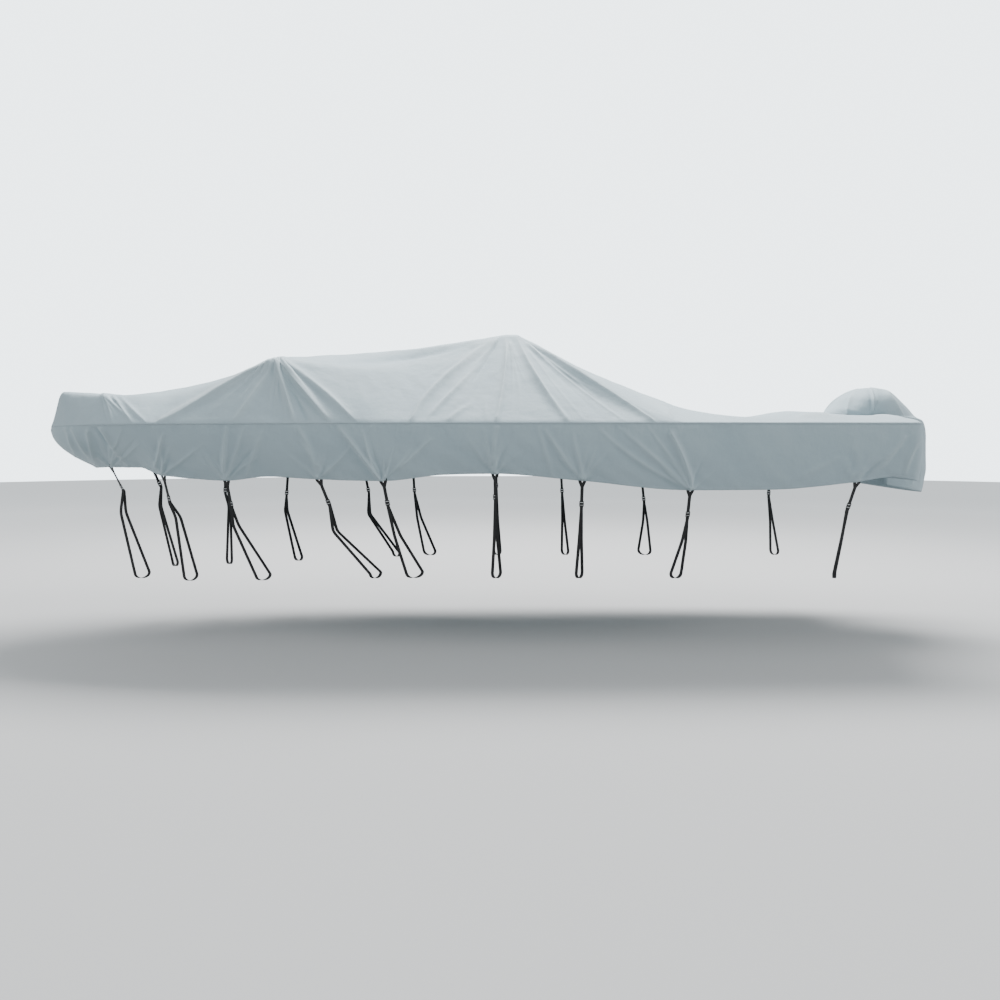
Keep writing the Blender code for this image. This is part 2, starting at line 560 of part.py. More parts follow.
def tie(side_name, side, row, skirt, collection):
    """A tie: the tab sewn inside the hem, its buckle and the looped strap."""
    side_part = skirt[: np.argmax(skirt[:, -1, 0]) + 1]
    inset = TAB_CLEARANCE + WEBBING_THICKNESS / 2
    sewn, sewn_across = across_skirt(side_part, row.hem_x, TAB_TOP_WIDTH / 2, TAB_SEWN_LENGTH)
    hem, hem_across = across_skirt(side_part, row.hem_x, TAB_TOP_WIDTH / 2, -TAB_BELOW_HEM)
    inward = -side * unit(np.cross(hem_across, hem - sewn))
    inward *= math.copysign(1.0, -side * inward[1])
    sewn = sewn + inward * inset
    hem = hem + inward * inset

    def at_height(x, z):
        """A point on the strap's slope from the hem to its foot."""
        share = (hem[2] - z) / (hem[2] - row.foot_z)
        return np.array([x, hem[1] + (side * row.foot_y - hem[1]) * share, z])

    centre = at_height(row.buckle_x, hem[2] - row.buckle_drop)
    down = unit(centre - hem)
    sideways = unit(hem_across - down * np.dot(hem_across, down))
    outward = side * unit(np.cross(down, sideways))
    outward *= math.copysign(1.0, side * outward[1])
    top_bar = centre - down * (BUCKLE_LENGTH / 2 + SEAM_GAP)
    narrow = hem + down * TAB_TAPER_LENGTH
    tab_path = np.array([sewn, hem, narrow, (narrow + top_bar) / 2, top_bar])
    tab_across = np.array([sewn_across, hem_across, sideways, sideways, sideways])
    widths = (TAB_TOP_WIDTH, TAB_TOP_WIDTH, WEBBING_WIDTH, WEBBING_WIDTH, WEBBING_WIDTH)
    place = f"{side_name}_{row.name}"
    webbing(f"tie_tab_{place}", tab_path, tab_across, widths, collection)
    buckle(f"tie_buckle_{place}", centre, down, sideways, collection)

    bar = centre + down * (BUCKLE_LENGTH / 2 + SEAM_GAP)
    knee = at_height(row.knee_x, row.knee_z)
    foot = at_height(row.foot_x, row.foot_z)
    spread = np.array([row.splay / 2, 0.0, 0.0])
    depth = np.array([0.0, side, 0.0])
    near = outward * LEG_SPACING / 2
    start = down * LEG_START
    parting = depth * BEAM_HALF_DEPTH * KNEE_SPREAD - spread * KNEE_SPREAD
    path = [bar + near, bar + near + start, knee + parting]
    for turn in np.linspace(0.0, math.pi, BEAM_TURN_STEPS + 1):
        round_beam = depth * math.cos(turn) - np.array([0.0, 0.0, math.sin(turn)])
        path.append(foot + round_beam * BEAM_HALF_DEPTH - spread * math.cos(turn))
    path += [knee - parting, bar - near + start, bar - near]
    path = np.array(path)
    along_boat = np.tile(np.array([1.0, 0.0, 0.0]), (len(path), 1))
    strap_widths = np.full(len(path), WEBBING_WIDTH)
    webbing(f"tie_strap_{place}", path, along_boat, strap_widths, collection)


def main():
    for item in list(bpy.data.objects):
        bpy.data.objects.remove(item, do_unlink=True)
    collection = bpy.data.collections.new("boat_cover")
    bpy.context.scene.collection.children.link(collection)
    cloth_panel("deck_panel", deck_grid(), collection)
    for side_name, side in SIDES:
        skirt = skirt_grid(side)
        facing = skirt if side > 0.0 else skirt[:, ::-1]
        cloth_panel(f"skirt_{side_name}", facing, collection)
        for row in TIES:
            tie(side_name, side, row, skirt, collection)
    cloth_panel("hood_front", hood_grid(HOOD_FRONT, -SEAM_GAP / 2)[::-1], collection)
    cloth_panel("hood_rear", hood_grid(HOOD_REAR, SEAM_GAP / 2), collection)


main()
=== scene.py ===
"""Dressed model of a fitted tie-down boat cover, held in the shape that it is drawn to.

The cover is sewn from a deck panel, two side skirts and a two-piece motor hood. Webbing tabs are
sewn into the hem, and each carries an adjuster buckle with a looped tie strap.

Metres, +Z up, +X towards the stern, port side at -Y, origin under the cloth at the top of the
support pole. Heights in the tables are above the gunwale seam, and x is measured from the pole.
"""

import logging
import math
from dataclasses import dataclass
from enum import Enum
from typing import NamedTuple, Sequence

import bmesh
import bpy
import numpy as np
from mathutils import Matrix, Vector


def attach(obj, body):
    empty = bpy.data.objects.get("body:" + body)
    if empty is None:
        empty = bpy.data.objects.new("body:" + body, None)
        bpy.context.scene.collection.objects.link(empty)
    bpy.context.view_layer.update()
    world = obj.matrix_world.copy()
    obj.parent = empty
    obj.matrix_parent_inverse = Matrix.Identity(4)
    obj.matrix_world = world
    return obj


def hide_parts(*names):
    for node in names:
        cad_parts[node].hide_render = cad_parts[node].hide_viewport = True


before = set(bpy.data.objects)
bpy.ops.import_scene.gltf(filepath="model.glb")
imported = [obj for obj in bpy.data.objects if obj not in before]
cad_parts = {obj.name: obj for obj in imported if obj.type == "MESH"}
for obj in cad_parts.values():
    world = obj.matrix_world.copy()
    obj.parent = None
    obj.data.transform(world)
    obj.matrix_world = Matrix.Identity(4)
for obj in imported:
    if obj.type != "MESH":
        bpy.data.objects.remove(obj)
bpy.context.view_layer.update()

Array = np.ndarray
LOG = logging.getLogger("boat_cover")
BODY = "root"

PEAK_HEIGHT = 0.863
ORIGIN = np.array([0.0, 0.0, PEAK_HEIGHT])
HALF_BEAM = 1.17
FLOOR_BELOW_SEAM = 1.88
CLOTH_SPACE = 0.002
CLOTH_THICKNESS = 0.0012
SEAM_GAP = 0.0003
# The fold height at which the cloth's painted shade in troughs and painted light on crests are
# full.
FULL_FOLD_SHADE_RISE = 0.012
SAME_PLACE = 1e-5
SHARP_ANGLE = math.radians(40.0)
ALONG_BOAT = np.array([1.0, 0.0, 0.0])
UPWARD = np.array([0.0, 0.0, 1.0])

# The camera's eye, above the gunwale seam. The folds are laid out as it sees the cover's side.
EYE_X, EYE_Y, EYE_Z = -0.11, -7.5, -0.205


class Side(Enum):
    """The two sides of the cover, by the sign of their y."""

    PORT = -1.0
    STARBOARD = 1.0

    @property
    def label(self) -> str:
        """The side's word in a piece's name."""
        return self.name.lower()


class Slot(Enum):
    """The record's material slots."""

    CLOTH = "cloth"
    WEBBING = "webbing"
    BUCKLE = "buckle"


class Held(Enum):
    """How a cloth panel is held."""

    STRETCHED = "stretched"
    HUNG = "hung"
    DRAPED = "draped"


# ---- Tables ----
class Rib(NamedTuple):
    """A line of tension in the deck cloth, from the ridge over a shoulder to the gunwale seam.

    crease is 1 where the cloth breaks sharply over the line, fold raises the line, sag lowers the
    cloth between it and the next one, and pitch is the spacing of the mesh columns up to the next.
    """

    name: str
    ridge_x: float
    ridge_z: float
    shoulder_x: float
    shoulder_y: float
    shoulder_z: float
    seam_x: float
    hem_x: float
    crease: float
    fold: float
    sag: float
    pitch: float


RIBS = (
    Rib("bow_face", -4.3, 0.09, -4.258, 0.12, 0.09, -4.17, -3.8, 0.0, 0.0, 0.0, 0.0187),
    Rib("rail_front", -4.238, 0.285, -4.205, 0.13, 0.283, -4.07, -3.72, 0.6, 0.0, 0.0, 0.0187),
    Rib("rail_top", -4.196, 0.322, -4.14, 0.19, 0.316, -3.93, -3.64, 0.3, 0.0, 0.0, 0.0187),
    Rib("rail_side", -3.99, 0.316, -3.88, 0.35, 0.292, -3.64, -3.47, 0.2, 0.0, 0.0, 0.0164),
    Rib("rail_end", -3.8, 0.297, -3.64, 0.49, 0.258, -3.404, -3.3, 1.0, 0.012, 0.01, 0.0129),
    Rib("rail_fan_1", -3.71, 0.288, -3.6, 0.5, 0.254, -3.205, -3.15, 1.0, 0.014, 0.012, 0.0129),
    Rib("rail_fan_2", -3.6, 0.292, -3.555, 0.49, 0.252, -3.066, -3.04, 1.0, 0.012, 0.004, 0.0211),
    Rib("foredeck", -3.05, 0.372, -3.02, 0.5, 0.272, -2.985, -2.985, 0.3, 0.0, 0.006, 0.0234),
    Rib("screen_foot", -2.62, 0.484, -2.48, 0.62, 0.4, -2.945, -2.95, 0.3, 0.0, 0.004, 0.0187),
    Rib("screen_1", -2.42, 0.548, -2.066, 0.735, 0.545, -2.922, -2.9, 1.0, 0.008, 0.014, 0.0129),
    Rib("screen_2", -2.36, 0.585, -2.052, 0.742, 0.552, -2.56, -2.42, 0.7, 0.006, 0.014, 0.0129),
    Rib("screen_3", -2.3, 0.63, -2.038, 0.748, 0.557, -2.279, -2.34, 1.0, 0.012, 0.01, 0.0129),
    Rib("screen_4", -2.18, 0.655, -2.012, 0.755, 0.559, -1.753, -1.62, 1.0, 0.012, 0.016, 0.0105),
    Rib("screen_5", -2.06, 0.655, -1.985, 0.765, 0.552, -1.461, -1.12, 1.0, 0.022, 0.016, 0.0105),
    Rib("screen_6", -1.95, 0.655, -1.965, 0.775, 0.545, -1.262, -1.07, 1.0, 0.01, 0.012, 0.018),
    Rib("side_panel", -1.05, 0.718, -1.0, 0.48, 0.5, -1.0, -1.03, 0.0, 0.0, 0.004, 0.0152),
    Rib("pole_fan_1", -0.5, 0.794, -0.6, 0.52, 0.45, -0.812, -0.985, 0.6, 0.01, 0.01, 0.0129),
    Rib("pole_fan_2", -0.17, 0.846, -0.33, 0.56, 0.436, -0.541, -0.86, 0.6, 0.006, 0.008, 0.0129),
    Rib("pole_fan_3", -0.05, 0.864, -0.1, 0.585, 0.43, -0.142, -0.15, 0.8, 0.01, 0.012, 0.0129),
    Rib("pole_fan_4", 0.05, 0.862, 0.225, 0.585, 0.434, 0.441, 0.52, 1.0, 0.014, 0.012, 0.0117),
    Rib("pole_fan_5", 0.075, 0.848, 0.5, 0.59, 0.398, 1.0, 1.25, 0.4, -0.012, 0.004, 0.0105),
    Rib("pole_fan_6", 0.11, 0.828, 0.61, 0.575, 0.444, 1.185, 1.405, 1.0, 0.019, 0.01, 0.0129),
    Rib("stern_fall", 0.64, 0.556, 0.96, 0.56, 0.286, 1.33, 1.455, 0.0, 0.0, 0.01, 0.0211),
    Rib("stern_dip", 1.24, 0.296, 1.33, 0.6, 0.13, 1.5, 1.54, 0.0, 0.0, 0.006, 0.0257),
    Rib("stern_deck", 1.76, 0.134, 1.78, 0.64, 0.086, 1.82, 1.82, 0.0, 0.0, 0.004, 0.0351),
    Rib("stern_flat", 2.16, 0.086, 2.16, 0.76, 0.06, 2.16, 2.16, 0.0, 0.0, 0.0, 0.0351),
    Rib("stern_hump", 2.56, 0.14, 2.58, 0.78, 0.092, 2.6, 2.6, 0.0, 0.0, 0.0, 0.0304),
    Rib("hood_foot", 2.86, 0.124, 2.96, 0.7, 0.075, 3.05, 3.05, 0.0, 0.0, 0.0, 0.0164),
)


# How far the hem hangs below the gunwale seam: x and drop.
# fmt: off
HEM = (
    (-3.91, 0.385), (-3.4, 0.375), (-3.22, 0.375), (-2.98, 0.438), (-2.37, 0.473),
    (-2.0, 0.439), (-1.58, 0.458), (-1.05, 0.471), (-0.57, 0.421), (-0.15, 0.413),
    (0.55, 0.469), (1.43, 0.546), (2.07, 0.543), (2.8, 0.48), (3.08, 0.443),
    (3.32, 0.473),
)
# fmt: on


class Hoop(NamedTuple):
    """A hoop of the motor hood, from its side height over its crown."""

    name: str
    side_x: float
    side_z: float
    crown_x: float
    crown_z: float


class Tie(NamedTuple):
    """A tie on each side: its place at the hem, buckle, knee where the legs part, and foot."""

    name: str
    hem_x: float
    buckle_x: float
    buckle_drop: float
    knee_x: float
    knee_z: float
    foot_x: float
    foot_y: float
    foot_z: float
    splay: float


TIES = (
    Tie("bow", -3.59, -3.5, 0.18, -3.49, -0.78, -3.33, 0.36, -1.33, 0.09),
    Tie("fore", -2.975, -2.95, 0.2, -2.89, -0.8, -2.84, 0.5, -1.33, 0.08),
    Tie("screen_fore", -2.37, -2.36, 0.2, -2.345, -0.86, -2.17, 0.6, -1.31, 0.1),
    Tie("screen_aft", -1.575, -1.52, 0.19, -1.49, -0.9, -1.18, 0.68, -1.28, 0.08),
    Tie("cabin", -1.052, -1.03, 0.18, -0.965, -0.94, -0.84, 0.72, -1.27, 0.13),
    Tie("pole", -0.15, -0.148, 0.19, -0.145, -0.96, -0.14, 0.74, -1.27, 0.07),
    Tie("cockpit", 0.553, 0.556, 0.19, 0.56, -0.96, 0.565, 0.74, -1.27, 0.06),
    Tie("stern", 1.427, 1.43, 0.2, 1.425, -0.98, 1.39, 0.74, -1.27, 0.11),
    Tie("transom", 2.793, 2.76, 0.2, 2.75, -0.98, 2.74, 0.74, -1.27, 0.05),
)


class Fold(NamedTuple):
    """A drawn fold through three places, laid out on the plane of the gunwale seen from abeam.

    start, middle and end are its heights, below zero for a trough, and lean makes the side to
    the left of its run wider than the other one.
    """

    name: str
    s0: float
    h0: float
    s1: float
    h1: float
    s2: float
    h2: float
    start: float
    middle: float
    end: float
    half_width: float
    lean: float = 0.0


DECK_FOLDS = (
    Fold("rail_1", -3.279, 0.21, -3.231, 0.106, -3.207, 0.011, 0.003, 0.006, 0.003, 0.02),
    Fold("rail_2", -3.223, 0.242, -3.135, 0.122, -3.055, 0.011, 0.003, 0.007, 0.003, 0.02),
    Fold("rail_3", -3.191, 0.258, -3.079, 0.138, -2.944, 0.011, 0.003, 0.006, 0.003, 0.02),
    Fold("screen_1", -1.912, 0.48, -2.09, 0.202, -2.249, -0.005, 0.008, 0.012, 0.005, 0.034, 0.1),
    Fold("screen_2", -1.915, 0.49, -2.385, 0.258, -2.824, 0.011, 0.009, 0.012, 0.006, 0.034, 0.2),
    Fold("screen_3", -1.888, 0.48, -1.802, 0.194, -1.746, -0.005, 0.008, 0.013, 0.005, 0.032, -0.2),
    Fold("screen_4", -1.868, 0.492, -1.643, 0.21, -1.459, -0.005, 0.012, 0.018, 0.008, 0.034, 0.3),
    Fold("screen_dent", -1.86, 0.47, -1.73, 0.178, -1.611, -0.085, 0.0, -0.007, -0.004, 0.026),
    Fold("screen_5", -1.84, 0.5, -1.52, 0.25, -1.267, 0.011, 0.004, 0.01, 0.006, 0.03, 0.2),
    Fold("ridge_trough", -1.4, 0.478, -0.924, 0.512, -0.349, 0.6, -0.006, -0.02, -0.005, 0.045),
    Fold("pole_1", -0.19, 0.64, -0.613, 0.298, -0.812, 0.019, 0.006, 0.018, 0.01, 0.03, 0.2),
    Fold("pole_2", -0.27, 0.458, -0.509, 0.218, -0.669, 0.058, 0.003, 0.014, 0.006, 0.026),
    Fold("pole_3", -0.334, 0.138, -0.541, 0.003, -0.868, -0.301, 0.003, 0.01, 0.004, 0.024),
    Fold("pole_4", -0.062, 0.64, -0.078, 0.338, -0.142, 0.003, 0.005, 0.015, 0.01, 0.024, 0.1),
    Fold("pole_dent", -0.238, 0.178, -0.206, -0.061, -0.174, -0.381, 0.002, 0.006, 0.003, 0.024),
    Fold("pole_5", 0.04, 0.64, 0.209, 0.322, 0.441, 0.003, 0.006, 0.02, 0.012, 0.028, -0.3),
    Fold("pole_6", 0.034, 0.689, 0.688, 0.298, 1.255, -0.093, 0.004, 0.009, 0.012, 0.028, -0.4),
    Fold("pole_7", 0.688, 0.354, 1.008, 0.218, 1.263, 0.082, 0.003, 0.008, 0.004, 0.028),
    Fold("stern_lump", 2.25, 0.03, 2.4, 0.055, 2.62, 0.035, 0.005, 0.012, 0.005, 0.025),
    Fold("stern_lip", 2.83, 0.03, 2.95, 0.05, 3.1, 0.035, 0.004, 0.01, 0.004, 0.022),
)
SKIRT_FOLDS = (
    Fold("bow_1", -3.574, -0.045, -3.534, -0.157, -3.495, -0.261, 0.0051, 0.0119, 0.0051, 0.02),
    Fold("bow_2", -3.526, -0.045, -3.447, -0.181, -3.367, -0.301, 0.0068, 0.0153, 0.0068, 0.022),
    Fold("bow_3", -3.399, -0.077, -3.359, -0.221, -3.327, -0.341, 0.0085, 0.0187, 0.0085, 0.022),
    Fold("dent", -3.343, -0.037, -3.287, -0.109, -3.239, -0.181, -0.0051, -0.0102, -0.0051, 0.018),
    Fold("bow_4", -3.303, -0.037, -3.191, -0.197, -3.079, -0.341, 0.0068, 0.0136, 0.0051, 0.024),
    Fold("fore", -2.8, -0.101, -2.824, -0.221, -2.856, -0.349, 0.0036, 0.0084, 0.006, 0.022),
    Fold("screen_1", -2.297, -0.021, -2.305, -0.205, -2.313, -0.381, 0.0036, 0.0084, 0.006, 0.024),
    Fold("screen_2", -2.161, -0.061, -2.217, -0.245, -2.281, -0.421, 0.0024, 0.0072, 0.0048, 0.02),
    Fold("screen_3", -2.01, -0.085, -2.074, -0.261, -2.13, -0.421, 0.0024, 0.006, 0.0036, 0.02),
    Fold("rib_1", -1.738, -0.013, -1.675, -0.125, -1.603, -0.261, 0.003, 0.008, 0.005, 0.024),
    Fold("rib_2", -1.706, -0.141, -1.619, -0.269, -1.531, -0.397, 0.002, 0.006, 0.003, 0.02),
    Fold("rib_3", -1.387, -0.053, -1.212, -0.269, -1.068, -0.452, 0.005, 0.011, 0.007, 0.026),
    Fold("rib_4", -1.204, -0.077, -1.164, -0.237, -1.116, -0.397, 0.002, 0.006, 0.004, 0.02),
    Fold("pole_1", -0.669, -0.141, -0.788, -0.253, -0.908, -0.365, 0.0024, 0.0072, 0.0036, 0.022),
    Fold("pole_2", -0.238, -0.045, -0.206, -0.213, -0.174, -0.381, 0.0024, 0.006, 0.0036, 0.02),
    Fold("pole_3", -0.134, -0.013, -0.158, -0.197, -0.15, -0.413, 0.0036, 0.0072, 0.006, 0.024),
    Fold("cockpit_1", 0.193, -0.045, 0.249, -0.221, 0.305, -0.421, 0.002, 0.006, 0.003, 0.022),
    Fold("cockpit_2", 0.249, -0.061, 0.377, -0.253, 0.505, -0.444, 0.003, 0.008, 0.005, 0.022),
    Fold("cockpit_3", 0.465, -0.077, 0.505, -0.261, 0.545, -0.444, 0.002, 0.006, 0.004, 0.02),
    Fold("stern_1", 0.688, -0.061, 1.008, -0.317, 1.367, -0.516, 0.0021, 0.0063, 0.0035, 0.026),
    Fold("stern_2", 0.848, -0.045, 1.127, -0.285, 1.391, -0.516, 0.0021, 0.0063, 0.0035, 0.024),
    Fold("stern_3", 1.087, -0.061, 1.207, -0.221, 1.327, -0.381, 0.0014, 0.0049, 0.0028, 0.022),
    Fold("stern_4", 1.255, -0.093, 1.359, -0.301, 1.423, -0.516, 0.01, 0.012, 0.007, 0.026, 0.2),
    Fold("stern_5", 2.269, -0.452, 2.428, -0.365, 2.588, -0.277, 0.002, 0.004, 0.002, 0.026),
    Fold("corner_1", 2.883, -0.381, 2.987, -0.285, 3.12, -0.12, 0.004, 0.01, 0.005, 0.022),
    Fold("corner_2", 3.123, -0.405, 3.179, -0.245, 3.251, -0.125, 0.0036, 0.0084, 0.0048, 0.022),
    Fold("transom", 2.684, -0.013, 2.732, -0.221, 2.764, -0.429, 0.001, 0.004, 0.004, 0.026),
)


class Fan(NamedTuple):
    """Fine creases that run out from one pulled place, between two directions in degrees."""

    name: str
    s: float
    h: float
    first: float
    last: float
    count: int
    shortest: float
    longest: float
    height: float
    half_width: float


DECK_FANS = (
    Fan("rail_end", -3.29, 0.225, -80.0, -18.0, 7, 0.14, 0.3, 0.004, 0.015),
    Fan("rail_top", -3.56, 0.29, -130.0, -60.0, 4, 0.12, 0.24, 0.002, 0.016),
    Fan("screen_fore", -1.915, 0.485, -170.0, -118.0, 9, 0.3, 0.8, 0.0035, 0.017),
    Fan("screen_aft", -1.88, 0.485, -105.0, -38.0, 11, 0.22, 0.62, 0.0045, 0.015),
    Fan("screen_ridge", -1.83, 0.51, -25.0, 5.0, 4, 0.3, 0.7, 0.003, 0.02),
    Fan("pole_fore", -0.11, 0.665, -172.0, -115.0, 10, 0.3, 0.95, 0.004, 0.017),
    Fan("pole_mid", -0.03, 0.64, -112.0, -60.0, 8, 0.25, 0.66, 0.0035, 0.017),
    Fan("pole_aft", 0.04, 0.66, -52.0, -22.0, 8, 0.4, 1.3, 0.004, 0.017),
    Fan("stern_pull", 1.26, 0.03, 118.0, 165.0, 6, 0.16, 0.5, 0.003, 0.016),
    Fan("stern_hump", 2.5, 0.02, 20.0, 160.0, 5, 0.2, 0.5, 0.0015, 0.022),
)
TIE_FAN = Fan("tie", 0.0, 0.0, 32.0, 148.0, 9, 0.10, 0.40, 0.0055, 0.014)
SEAM_PUCKERS = Fan("seam", 0.0, 0.0, -125.0, -55.0, 90, 0.05, 0.16, 0.0022, 0.013)
PUCKERS_FROM_X = -3.9
PUCKERS_RUN = 7.2

# How a fan's creases stray from their even places, as shares of their own sizes.
CREASE_PLACE = (0.15, 0.85)
CREASE_START = (0.02, 0.12)
CREASE_BEND = (-0.05, 0.05)
CREASE_HEIGHT = (0.45, 1.25)
CREASE_WIDTH = (0.8, 1.35)
CREASE_SIGNS = (1.0, 1.0, 1.0, -0.8)
CREASE_MIDDLE = 0.75


def fan_folds(fan: Fan, random: np.random.Generator) -> list[Fold]:
    """The creases of a fan, each a little off its even place.

    Args:
        fan: The place that is pulled, and how its creases spread.
        random: The seeded source of their unevenness.

    Returns:
        One fold for each crease, fading away from the pulled place.
    """
    folds = []
    for number in range(fan.count):
        share = (number + random.uniform(*CREASE_PLACE)) / fan.count
        angle = math.radians(fan.first + (fan.last - fan.first) * share)
        length = random.uniform(fan.shortest, fan.longest)
        toward = np.array([math.cos(angle), math.sin(angle)])
        aside = np.array([-toward[1], toward[0]])
        start = np.array([fan.s, fan.h]) + toward * random.uniform(*CREASE_START) * length
        middle = start + toward * length * 0.5 + aside * length * random.uniform(*CREASE_BEND)
        end = start + toward * length
        height = fan.height * random.uniform(*CREASE_HEIGHT) * random.choice(CREASE_SIGNS)
        width = fan.half_width * random.uniform(*CREASE_WIDTH)
        heights = (height, height * CREASE_MIDDLE, 0.0)
        folds.append(Fold(f"{fan.name}_{number}", *start, *middle, *end, *heights, width))
    return folds


def deck_folds(seed: int) -> tuple[Fold, ...]:
    """The deck's drawn folds with the fans of fine creases."""
    random = np.random.default_rng(seed)
    return DECK_FOLDS + tuple(fold for fan in DECK_FANS for fold in fan_folds(fan, random))


def skirt_folds(plan: "CoverPlan", seed: int) -> tuple[Fold, ...]:
    """A skirt's drawn folds with creases that rise from each tie and short ones at the seam.

    Args:
        plan: The plan that places the ties on the hem.
        seed: The seed of the creases.

    Returns:
        Every fold of one skirt.
    """
    random = np.random.default_rng(seed)
    folds = list(SKIRT_FOLDS)
    for tie in TIES:
        hem = np.array([tie.hem_x, plan.hem_half(tie.hem_x), -plan.hem_drop(tie.hem_x)])
        s, h = abeam(hem)
        folds += fan_folds(TIE_FAN._replace(name=tie.name, s=float(s), h=float(h)), random)
    for number in range(SEAM_PUCKERS.count):
        along = (number + random.uniform(0.0, 1.0)) * PUCKERS_RUN / SEAM_PUCKERS.count
        place = {"name": f"seam_{number}", "s": PUCKERS_FROM_X + along, "count": 1}
        folds += fan_folds(SEAM_PUCKERS._replace(**place), random)
    return tuple(folds)


HOOD_FOLDS = (
    Fold("side", 2.731, 0.262, 2.679, 0.167, 2.662, 0.071, 0.006, 0.017, 0.008, 0.024, 0.3),
    Fold("seam", 2.852, 0.272, 2.874, 0.175, 2.865, 0.08, 0.005, 0.011, 0.005, 0.013, -0.3),
    Fold("seam_dent", 2.838, 0.25, 2.85, 0.16, 2.836, 0.08, -0.003, -0.006, -0.003, 0.016),
    Fold("back", 2.99, 0.235, 3.059, 0.132, 3.112, 0.037, 0.006, 0.016, 0.008, 0.026, -0.3),
    Fold("cowl_1", 3.11, -0.02, 3.125, -0.22, 3.115, -0.46, 0.003, 0.01, 0.006, 0.02, 0.2),
    Fold("cowl_2", 3.185, 0.01, 3.2, -0.2, 3.18, -0.48, 0.002, 0.009, 0.006, 0.018, -0.2),
    Fold("cowl_3", 3.245, -0.04, 3.252, -0.24, 3.24, -0.47, 0.002, 0.007, 0.005, 0.014),
)


# ---- Curves ----
def smooth_step(value: Array | float) -> Array:
    """0 below zero, 1 above one and a smooth rise between them."""
    value = np.clip(value, 0.0, 1.0)
    return value * value * (3.0 - 2.0 * value)


def smooth_between(x: Array | float, stops: Sequence[float], values: Sequence[float]) -> Array:
    """A smooth curve through a short table, which never overshoots its rows.

    Args:
        x: Where the curve is wanted.
        stops: The rising places of the table's rows.
        values: The value at each of them.

    Returns:
        The curve's value at each x.
    """
    stops = np.asarray(stops, float)
    values = np.asarray(values, float)
    slope = np.diff(values) / np.diff(stops)
    same_way = slope[:-1] * slope[1:] > 0.0
    total = np.where(same_way, slope[:-1] + slope[1:], 1.0)
    tangent = np.empty(len(stops))
    tangent[1:-1] = np.where(same_way, 2.0 * slope[:-1] * slope[1:] / total, 0.0)
    tangent[0] = slope[0]
    tangent[-1] = slope[-1]
    x = np.clip(np.asarray(x, float), stops[0], stops[-1])
    left = np.clip(np.searchsorted(stops, x, side="right") - 1, 0, len(stops) - 2)
    width = stops[left + 1] - stops[left]
    at = (x - stops[left]) / width
    return (
        (1 + 2 * at) * (1 - at) ** 2 * values[left]
        + at * (1 - at) ** 2 * width * tangent[left]
        + at**2 * (3 - 2 * at) * values[left + 1]
        + at**2 * (at - 1) * width * tangent[left + 1]
    )


def catmull_rom(before: Array, start: Array, end: Array, after: Array, at: float) -> Array:
    """The smooth curve from start to end, shaped by its neighbours.

    Args:
        before: The place before the curve's start.
        start: Where the curve starts.
        end: Where it ends.
        after: The place after its end.
        at: How far along it, from 0 to 1.

    Returns:
        The place on the curve.
    """
    return 0.5 * (
        2.0 * start
        + (end - before) * at
        + (2.0 * before - 5.0 * start + 4.0 * end - after) * at**2
        + (3.0 * start - before - 3.0 * end + after) * at**3
    )


def smooth_path(points: Sequence[Array], pitch: float) -> Array:
    """A smooth polyline through points, with its own points about a pitch apart.

    Args:
        points: The places it passes.
        pitch: About how far apart its own points are.

    Returns:
        The path's points.
    """
    points = np.asarray(points, float)
    padded = np.concatenate([[2 * points[0] - points[1]], points, [2 * points[-1] - points[-2]]])
    line = []
    for number in range(len(points) - 1):
        before, start, end, after = padded[number : number + 4]
        count = max(2, round(float(np.linalg.norm(end - start)) / pitch))
        line += [catmull_rom(before, start, end, after, step / count) for step in range(count)]
    line.append(points[-1])
    return np.array(line)


def straight_run(start: Array, end: Array, pitch: float) -> list[Array]:
    """Points on the way from start, which is left out, to end, about a pitch apart."""
    count = max(1, round(float(np.linalg.norm(end - start)) / pitch))
    return [start + (end - start) * step / count for step in range(1, count + 1)]


def taut_path(points: Sequence[Array], radius: float, pitch: float) -> Array:
    """Straight runs between points with rounded corners.

    Args:
        points: The corners, and the two ends.
        radius: How far before and after a corner the rounding reaches, at most.
        pitch: The spacing of the path's own points along its straight runs.

    Returns:
        The path's points.
    """
    most_of_a_run, steps = 0.45, 4
    points = [np.asarray(point, float) for point in points]
    line = [points[0]]
    for before, corner, after in zip(points, points[1:], points[2:]):
        back, ahead = before - corner, after - corner
        shortest = most_of_a_run * np.linalg.norm(back), most_of_a_run * np.linalg.norm(ahead)
        reach = min(radius, *shortest)
        start, end = corner + unit(back) * reach, corner + unit(ahead) * reach
        line += straight_run(line[-1], start, pitch)
        for at in np.linspace(0.0, 1.0, steps + 1)[1:]:
            line.append((1 - at) ** 2 * start + 2 * at * (1 - at) * corner + at**2 * end)
    return np.array(line + straight_run(line[-1], points[-1], pitch))


def path_length(path: Array) -> float:
    """The length of a polyline."""
    return float(np.linalg.norm(np.diff(path, axis=0), axis=1).sum())


def at_x(line: Array, x: float) -> Array:
    """The place at x on a line of points that runs aft."""
    return np.array([np.interp(x, line[:, 0], line[:, axis]) for axis in range(3)])


def unit(vectors: Array) -> Array:
    """Vectors scaled to a length of 1."""
    return vectors / np.linalg.norm(vectors, axis=-1, keepdims=True)


def grid_normals(grid: Array) -> Array:
    """The normal at each point of a grid, along its first axis crossed with its second."""
    return unit(np.cross(np.gradient(grid, axis=0), np.gradient(grid, axis=1)) + 1e-12)


def run_lengths(grid: Array, axis: int) -> Array:
    """How far along each line of a grid every point is."""
    steps = np.linalg.norm(np.diff(grid, axis=axis), axis=-1)
    start = np.zeros_like(np.take(steps, [0], axis=axis))
    return np.cumsum(np.concatenate([start, steps], axis=axis), axis=axis)


